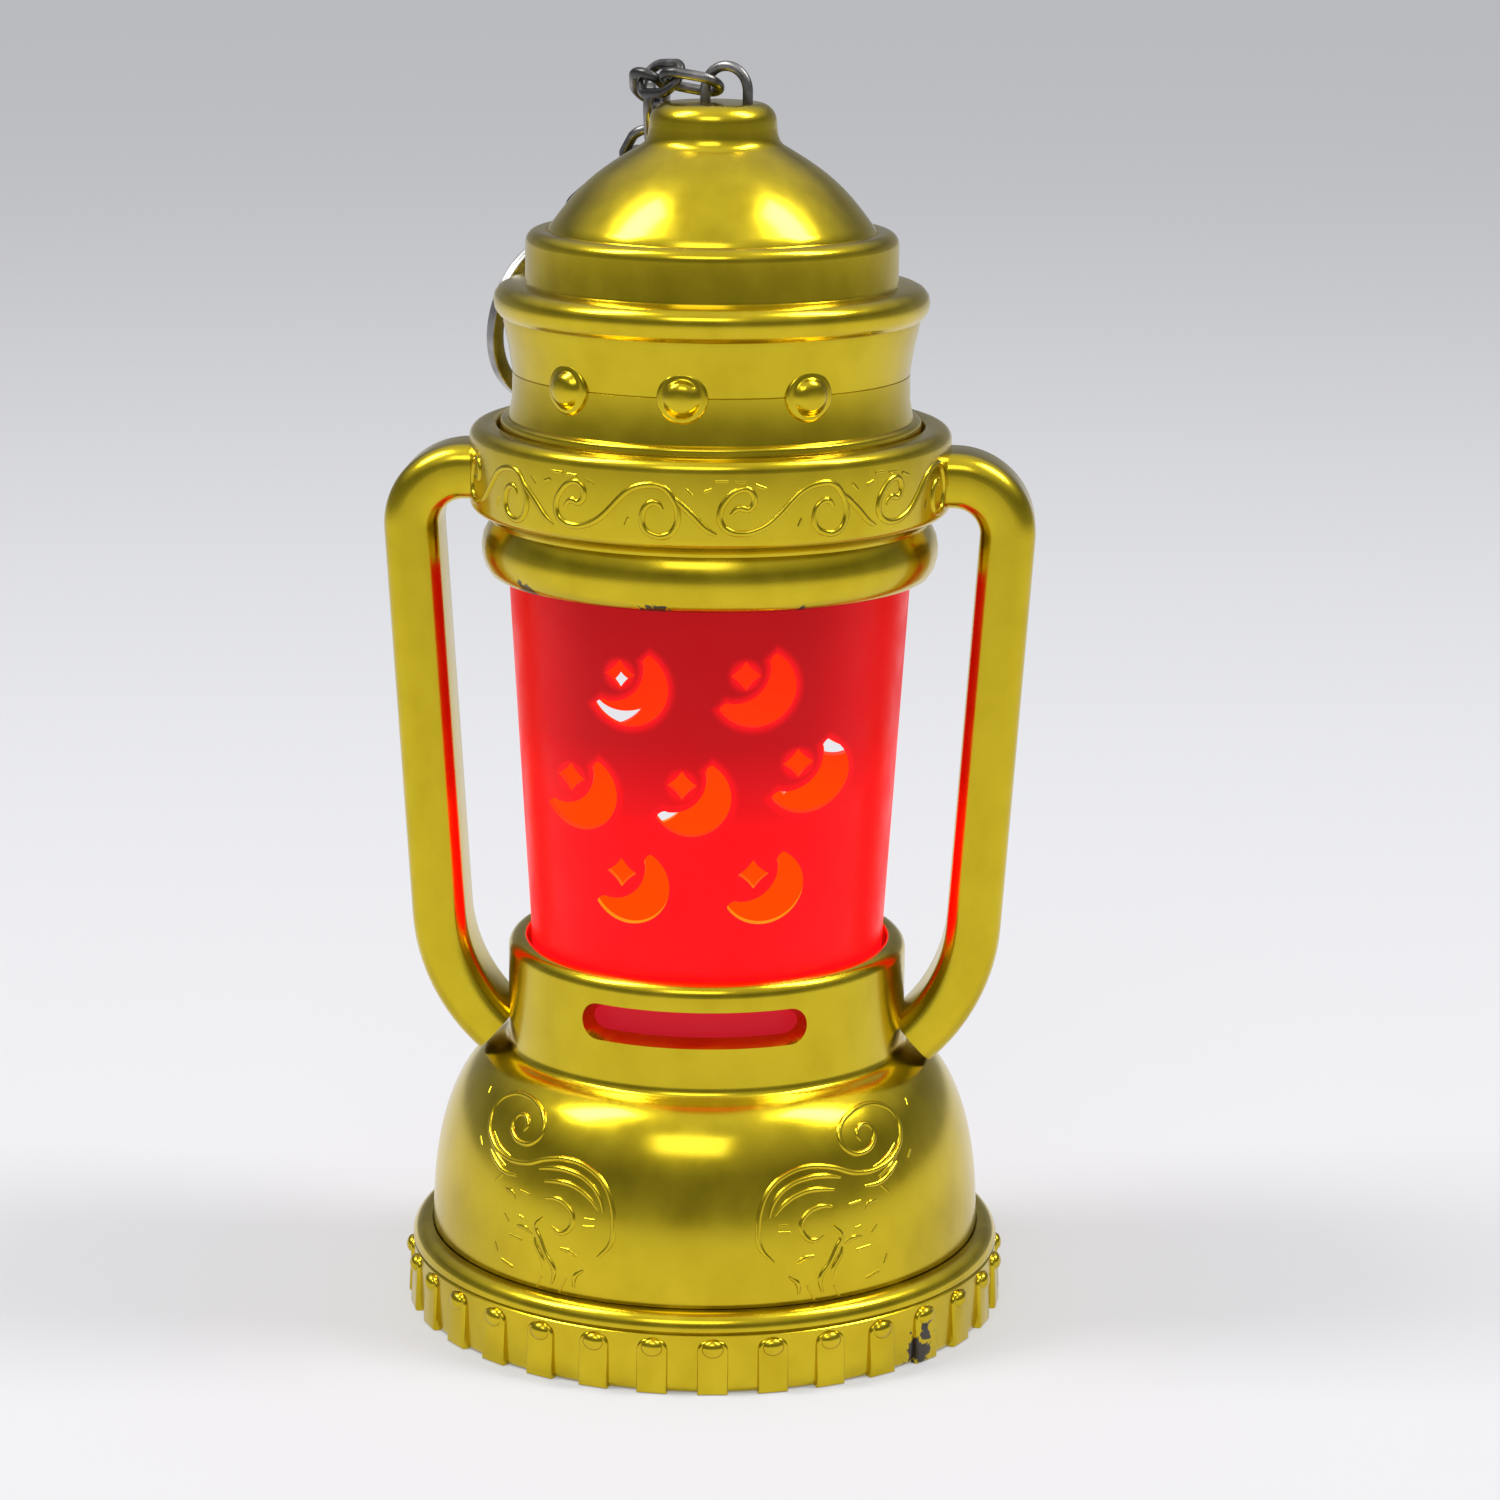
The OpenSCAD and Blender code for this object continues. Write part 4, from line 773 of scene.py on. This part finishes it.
def wire_loop(half_straight, bend, legs=0.0):
    """A round-ended loop of wire about the origin, long axis X, flat in XZ, or a staple if it has legs."""
    bm = bmesh.new()
    made = bmesh.ops.create_circle(bm, cap_ends=False, segments=20, radius=wire_thick / 2 * MM)["verts"]
    if legs:
        bmesh.ops.translate(bm, vec=(bend * MM, 0, -legs * MM), verts=made)
        front = list({e for v in made for e in v.link_edges})
        grown = bmesh.ops.extrude_edge_only(bm, edges=front)["geom"]
        moved = [g for g in grown if isinstance(g, bmesh.types.BMVert)]
        bmesh.ops.translate(bm, vec=(0, 0, legs * MM), verts=moved)
        front = [g for g in grown if isinstance(g, bmesh.types.BMEdge)
                 and all(v in set(moved) for v in g.verts)]
        arch = bmesh.ops.spin(bm, geom=front, cent=(0, 0, 0), axis=(0, -1, 0), dvec=(0, 0, 0), angle=math.pi,
                              steps=28, use_merge=False, use_duplicate=False)
        front = [g for g in arch["geom_last"] if isinstance(g, bmesh.types.BMEdge)]
        grown = bmesh.ops.extrude_edge_only(bm, edges=front)["geom"]
        moved = [g for g in grown if isinstance(g, bmesh.types.BMVert)]
        bmesh.ops.translate(bm, vec=(0, 0, -legs * MM), verts=moved)
        bmesh.ops.holes_fill(bm, edges=[e for e in bm.edges if e.is_boundary], sides=0)
    else:
        bmesh.ops.translate(bm, vec=(bend * MM, 0, 0), verts=made)
        bmesh.ops.spin(bm, geom=list({e for v in made for e in v.link_edges}), cent=(0, 0, 0), axis=(0, 1, 0),
                       dvec=(0, 0, 0), angle=math.tau, steps=48, use_merge=True, use_duplicate=False)
        bmesh.ops.remove_doubles(bm, verts=bm.verts, dist=1e-7)
        for v in bm.verts:
            if abs(v.co.x) > 1e-8:
                v.co.x += math.copysign(half_straight * MM, v.co.x)
    bmesh.ops.recalc_face_normals(bm, faces=bm.faces)
    return bm


def heading(azimuth, slope):
    """A unit vector at an azimuth and a slope below level, in degrees."""
    a, s = math.radians(azimuth), math.radians(slope)
    return Vector((math.cos(a) * math.cos(s), math.sin(a) * math.cos(s), -math.sin(s)))


knob_top = 95.7
eye_shift, eye_turn, eye_radius, eye_rise, eye_sunk = 1.0, math.radians(-25.0), 1.85, 0.9, 1.8
staple = wire_loop(0, eye_radius, legs=eye_rise + eye_sunk)
bmesh.ops.rotate(staple, cent=(0, 0, 0), matrix=Matrix.Rotation(eye_turn, 3, "Z"), verts=staple.verts)
bmesh.ops.translate(staple, vec=(eye_shift * MM, 0, (knob_top + eye_rise) * MM), verts=staple.verts)
staple_piece = piece("wire_eye", staple, dark_wire, smooth_angle=60)
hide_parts("hanging_eye")

# Each link's heading, slope below level and lean about its own length are in
# degrees; its hook share is how far inside its bend the next one lies, in wires.
link_middle, link_bend, link_half = 4.4, 1.35, 0.85
link_azimuths = (172, 130, 94, 90, 120, 163, 168, 184)
link_slopes = (-8.5, 4, 30, 60, 40, 46, 41, 58)
link_leans = (-62, 36, -64, 3, -82, 47, -37, 50)
hook_shares = (0.85, 0.825, 0.7125, 0.6, 0.6625, 0.5875, 0.65, 0.65)
first_lift, first_back = 1.27, 1.1
leg = Vector((eye_shift - eye_radius * math.cos(eye_turn), -eye_radius * math.sin(eye_turn),
              knob_top + first_lift))
start = leg - first_back * heading(link_azimuths[0], link_slopes[0])
for i in range(8):
    way = heading(link_azimuths[i], link_slopes[i])
    loop = wire_loop(link_half, link_bend)
    lie = (Matrix.Rotation(math.radians(link_azimuths[i]), 3, "Z")
           @ Matrix.Rotation(math.radians(link_slopes[i]), 3, "Y")
           @ Matrix.Rotation(math.radians(link_leans[i]), 3, "X"))
    bmesh.ops.rotate(loop, cent=(0, 0, 0), matrix=lie, verts=loop.verts)
    bmesh.ops.translate(loop, vec=(start + way * link_middle / 2) * MM, verts=loop.verts)
    link = piece("link_loop_%d" % (i + 1), loop, dark_wire, body="link_%d" % (i + 1), smooth_angle=60)
    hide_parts("chain_link_%d" % (i + 1))
    hook = start + (link_middle - hook_shares[i] * wire_thick) * way
    if i < 7:
        start = hook - hook_shares[i] * wire_thick * heading(link_azimuths[i + 1], link_slopes[i + 1])

# Split ring: flat spring wire wound twice round, nickel plated and dull,
# hung from the last loop and leaning out past the collar.
ring_finish = wire_finish("dull_nickel_ring", (0.26, 0.25, 0.24), (0.55, 0.54, 0.52), 0.30)
ring_middle, ring_width, ring_thickness, half_gap = 6.5, 1.2, 1.2, 0.02
coil = bmesh.new()
half_w, half_t = ring_width / 2, ring_thickness / 4 - half_gap
corners = [coil.verts.new(((ring_middle + x) * MM, 0, (z - ring_thickness / 4) * MM))
           for x, z in ((-half_w, -half_t), (half_w, -half_t), (half_w, half_t), (-half_w, half_t))]
coil.faces.new(corners)
bmesh.ops.bevel(coil, geom=corners, offset=0.14 * MM, offset_type="OFFSET", segments=3, profile=0.5,
                affect="VERTICES", material=-1)
ring_turns, wound_share, ring_steps = 2, 0.985, 176
bmesh.ops.spin(coil, geom=coil.edges[:], cent=(0, 0, 0), axis=(0, 0, 1),
               dvec=(0, 0, ring_thickness / 2 * MM / ring_steps), angle=math.tau * ring_turns * wound_share,
               steps=ring_steps, use_merge=False, use_duplicate=False)
bmesh.ops.holes_fill(coil, edges=[e for e in coil.edges if e.is_boundary], sides=0)
bmesh.ops.recalc_face_normals(coil, faces=coil.faces)
ring_back, ring_azimuth, ring_lean = 1.45, 141, 11
hang = hook - ring_back * wire_thick * heading(link_azimuths[-1], link_slopes[-1])
ring_lie = (Matrix.Rotation(math.radians(ring_azimuth), 3, "Z")
            @ Matrix.Rotation(math.radians(90 - ring_lean), 3, "Y"))
bmesh.ops.translate(coil, vec=(ring_middle * MM, 0, 0), verts=coil.verts)
bmesh.ops.rotate(coil, cent=(0, 0, 0), matrix=ring_lie, verts=coil.verts)
bmesh.ops.translate(coil, vec=hang * MM, verts=coil.verts)
ring = piece("wound_ring", coil, ring_finish, body="key_ring", smooth_angle=40)
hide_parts("split_ring")

# Inside and underside: plain functional pieces, kept as built, each with the
# finish that its own material has. The replaced pieces get theirs as well.


def plain_finish(name, tone, other, low, high, metal=0.0, lit=None):
    """A finish with slight patches of tone and gloss over the moulded skin."""
    finish, tree, shader, skin = over_skin(name, 0.25)
    gloss(tree, skin, shader, low, high)
    patch = ramp(tree, [(0.35, tone), (0.7, other)])
    join(tree, [(shader, "Metallic", metal)],
         (skin, "Marks", patch, "Fac"), (patch, "Color", shader, "Base Color"))
    if lit:
        join(tree, [(shader, "Emission Color", (*lit, 1)), (shader, "Emission Strength", 1.5)])
    return finish


finished = (
    (plain_finish("white_moulding", (0.72, 0.72, 0.69), (0.80, 0.80, 0.78), 0.4, 0.55),
     ("lamp_holder", "battery_tray")),
    (plain_finish("board_lacquer", (0.03, 0.20, 0.07), (0.05, 0.27, 0.10), 0.25, 0.4), ("circuit_board",)),
    (plain_finish("cell_can", (0.62, 0.62, 0.61), (0.74, 0.74, 0.73), 0.15, 0.32, metal=1.0),
     ("cell_1", "cell_2", "cell_3", "contact_plus", "contact_minus", "switch_body")),
    (plain_finish("zinc_screw", (0.50, 0.51, 0.52), (0.66, 0.66, 0.66), 0.25, 0.42, metal=1.0),
     ("cover_screw_left", "cover_screw_right", "base_screw_1", "base_screw_2", "base_screw_3")),
    (plain_finish("black_moulding", (0.012, 0.012, 0.012), (0.022, 0.022, 0.022), 0.35, 0.5),
     ("switch_slider",)),
    (plain_finish("potting_resin", (0.008, 0.008, 0.008), (0.016, 0.016, 0.016), 0.15, 0.3), ("flasher_chip",)),
    (plain_finish("resistor_lacquer", (0.55, 0.40, 0.24), (0.66, 0.50, 0.32), 0.3, 0.45), ("resistor",)),
    (plain_finish("lamp_lens_red", (0.80, 0.03, 0.02), (0.90, 0.06, 0.03), 0.06, 0.14, lit=(1.0, 0.05, 0.03)),
     ("lamp",)),
    (plain_finish("red_lead", (0.50, 0.01, 0.01), (0.62, 0.02, 0.02), 0.35, 0.5), ("wire_red",)),
    (plain_finish("black_lead", (0.01, 0.01, 0.01), (0.02, 0.02, 0.02), 0.35, 0.5), ("wire_black",)),
    (gold_base, ("battery_cover", "base_cover")), (gold_frame, ("body_frame",)), (gold_cap, ("top_cap",)),
    (red_plastic, ("lamp_sleeve",)), (ring_finish, ("split_ring",)),
    (dark_wire, ("hanging_eye", *("chain_link_%d" % (i + 1) for i in range(8)))),
)
for finish, names in finished:
    for name in names:
        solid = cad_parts[name]
        solid.data.materials.clear()
        solid.data.materials.append(finish)

# The room: a plain pale floor that runs back out of sight, a grey sky that is
# lighter overhead, a tall soft lamp above each side and a wide one in front.
floor_radius = 6.0
floor_mesh = bmesh.new()
bmesh.ops.create_circle(floor_mesh, cap_ends=True, segments=96, radius=floor_radius)
floor = bpy.data.objects.new("floor", bpy.data.meshes.new("floor"))
floor_mesh.to_mesh(floor.data)
floor_mesh.free()
bpy.context.scene.collection.objects.link(floor)
floor_paint = bpy.data.materials.new("pale_floor")
floor_paint.use_nodes = True
tree = floor_paint.node_tree
paint = tree.nodes["Principled BSDF"]
rays = node(tree, "ShaderNodeLightPath")
seen = node(tree, "ShaderNodeMath", operation="MAXIMUM")
join(tree, [(paint, "Base Color", (0.42, 0.42, 0.43, 1)), (paint, "Roughness", 0.8),
            (paint, "Specular IOR Level", 0.2), (paint, "Emission Color", (0.26, 0.26, 0.27, 1))],
     (rays, "Is Camera Ray", seen, 0), (rays, "Is Glossy Ray", seen, 1),
     (seen, "Value", paint, "Emission Strength"))
floor.data.materials.append(floor_paint)

world = bpy.data.worlds.new("studio_sky")
world.use_nodes = True
bpy.context.scene.world = world
tree = world.node_tree
sky = tree.nodes["Background"]
aim = node(tree, "ShaderNodeTexCoord")
rise = node(tree, "ShaderNodeSeparateXYZ")
shade = ramp(tree, [(0.0, (0.30, 0.31, 0.33)), (0.35, (0.16, 0.165, 0.175)), (0.7, (0.55, 0.56, 0.58)),
                    (1.0, (0.80, 0.81, 0.83))])
join(tree, [(sky, "Strength", 1.0)],
     (aim, "Generated", rise, "Vector"), (rise, "Z", shade, "Fac"), (shade, "Color", sky, "Color"))


def soft_lamp(name, place, target, size, power):
    """A rectangular soft lamp, in metres and watts, aimed at a point."""
    lamp = bpy.data.lights.new(name, "AREA")
    lamp.shape = "RECTANGLE"
    lamp.size, lamp.size_y = size
    lamp.energy = power
    holder = bpy.data.objects.new(name, lamp)
    holder.location = place
    holder.rotation_euler = (Vector(target) - Vector(place)).to_track_quat("-Z", "Y").to_euler()
    bpy.context.scene.collection.objects.link(holder)


soft_lamp("soft_left", (-0.34, -0.06, 0.56), (0, 0, 0.06), (0.14, 0.26), 2.4)
soft_lamp("soft_right", (0.36, 0.00, 0.56), (0, 0, 0.06), (0.14, 0.26), 2.4)
soft_lamp("soft_front", (-0.05, -0.70, 0.75), (0, 0, 0.05), (0.5, 0.3), 1.2)
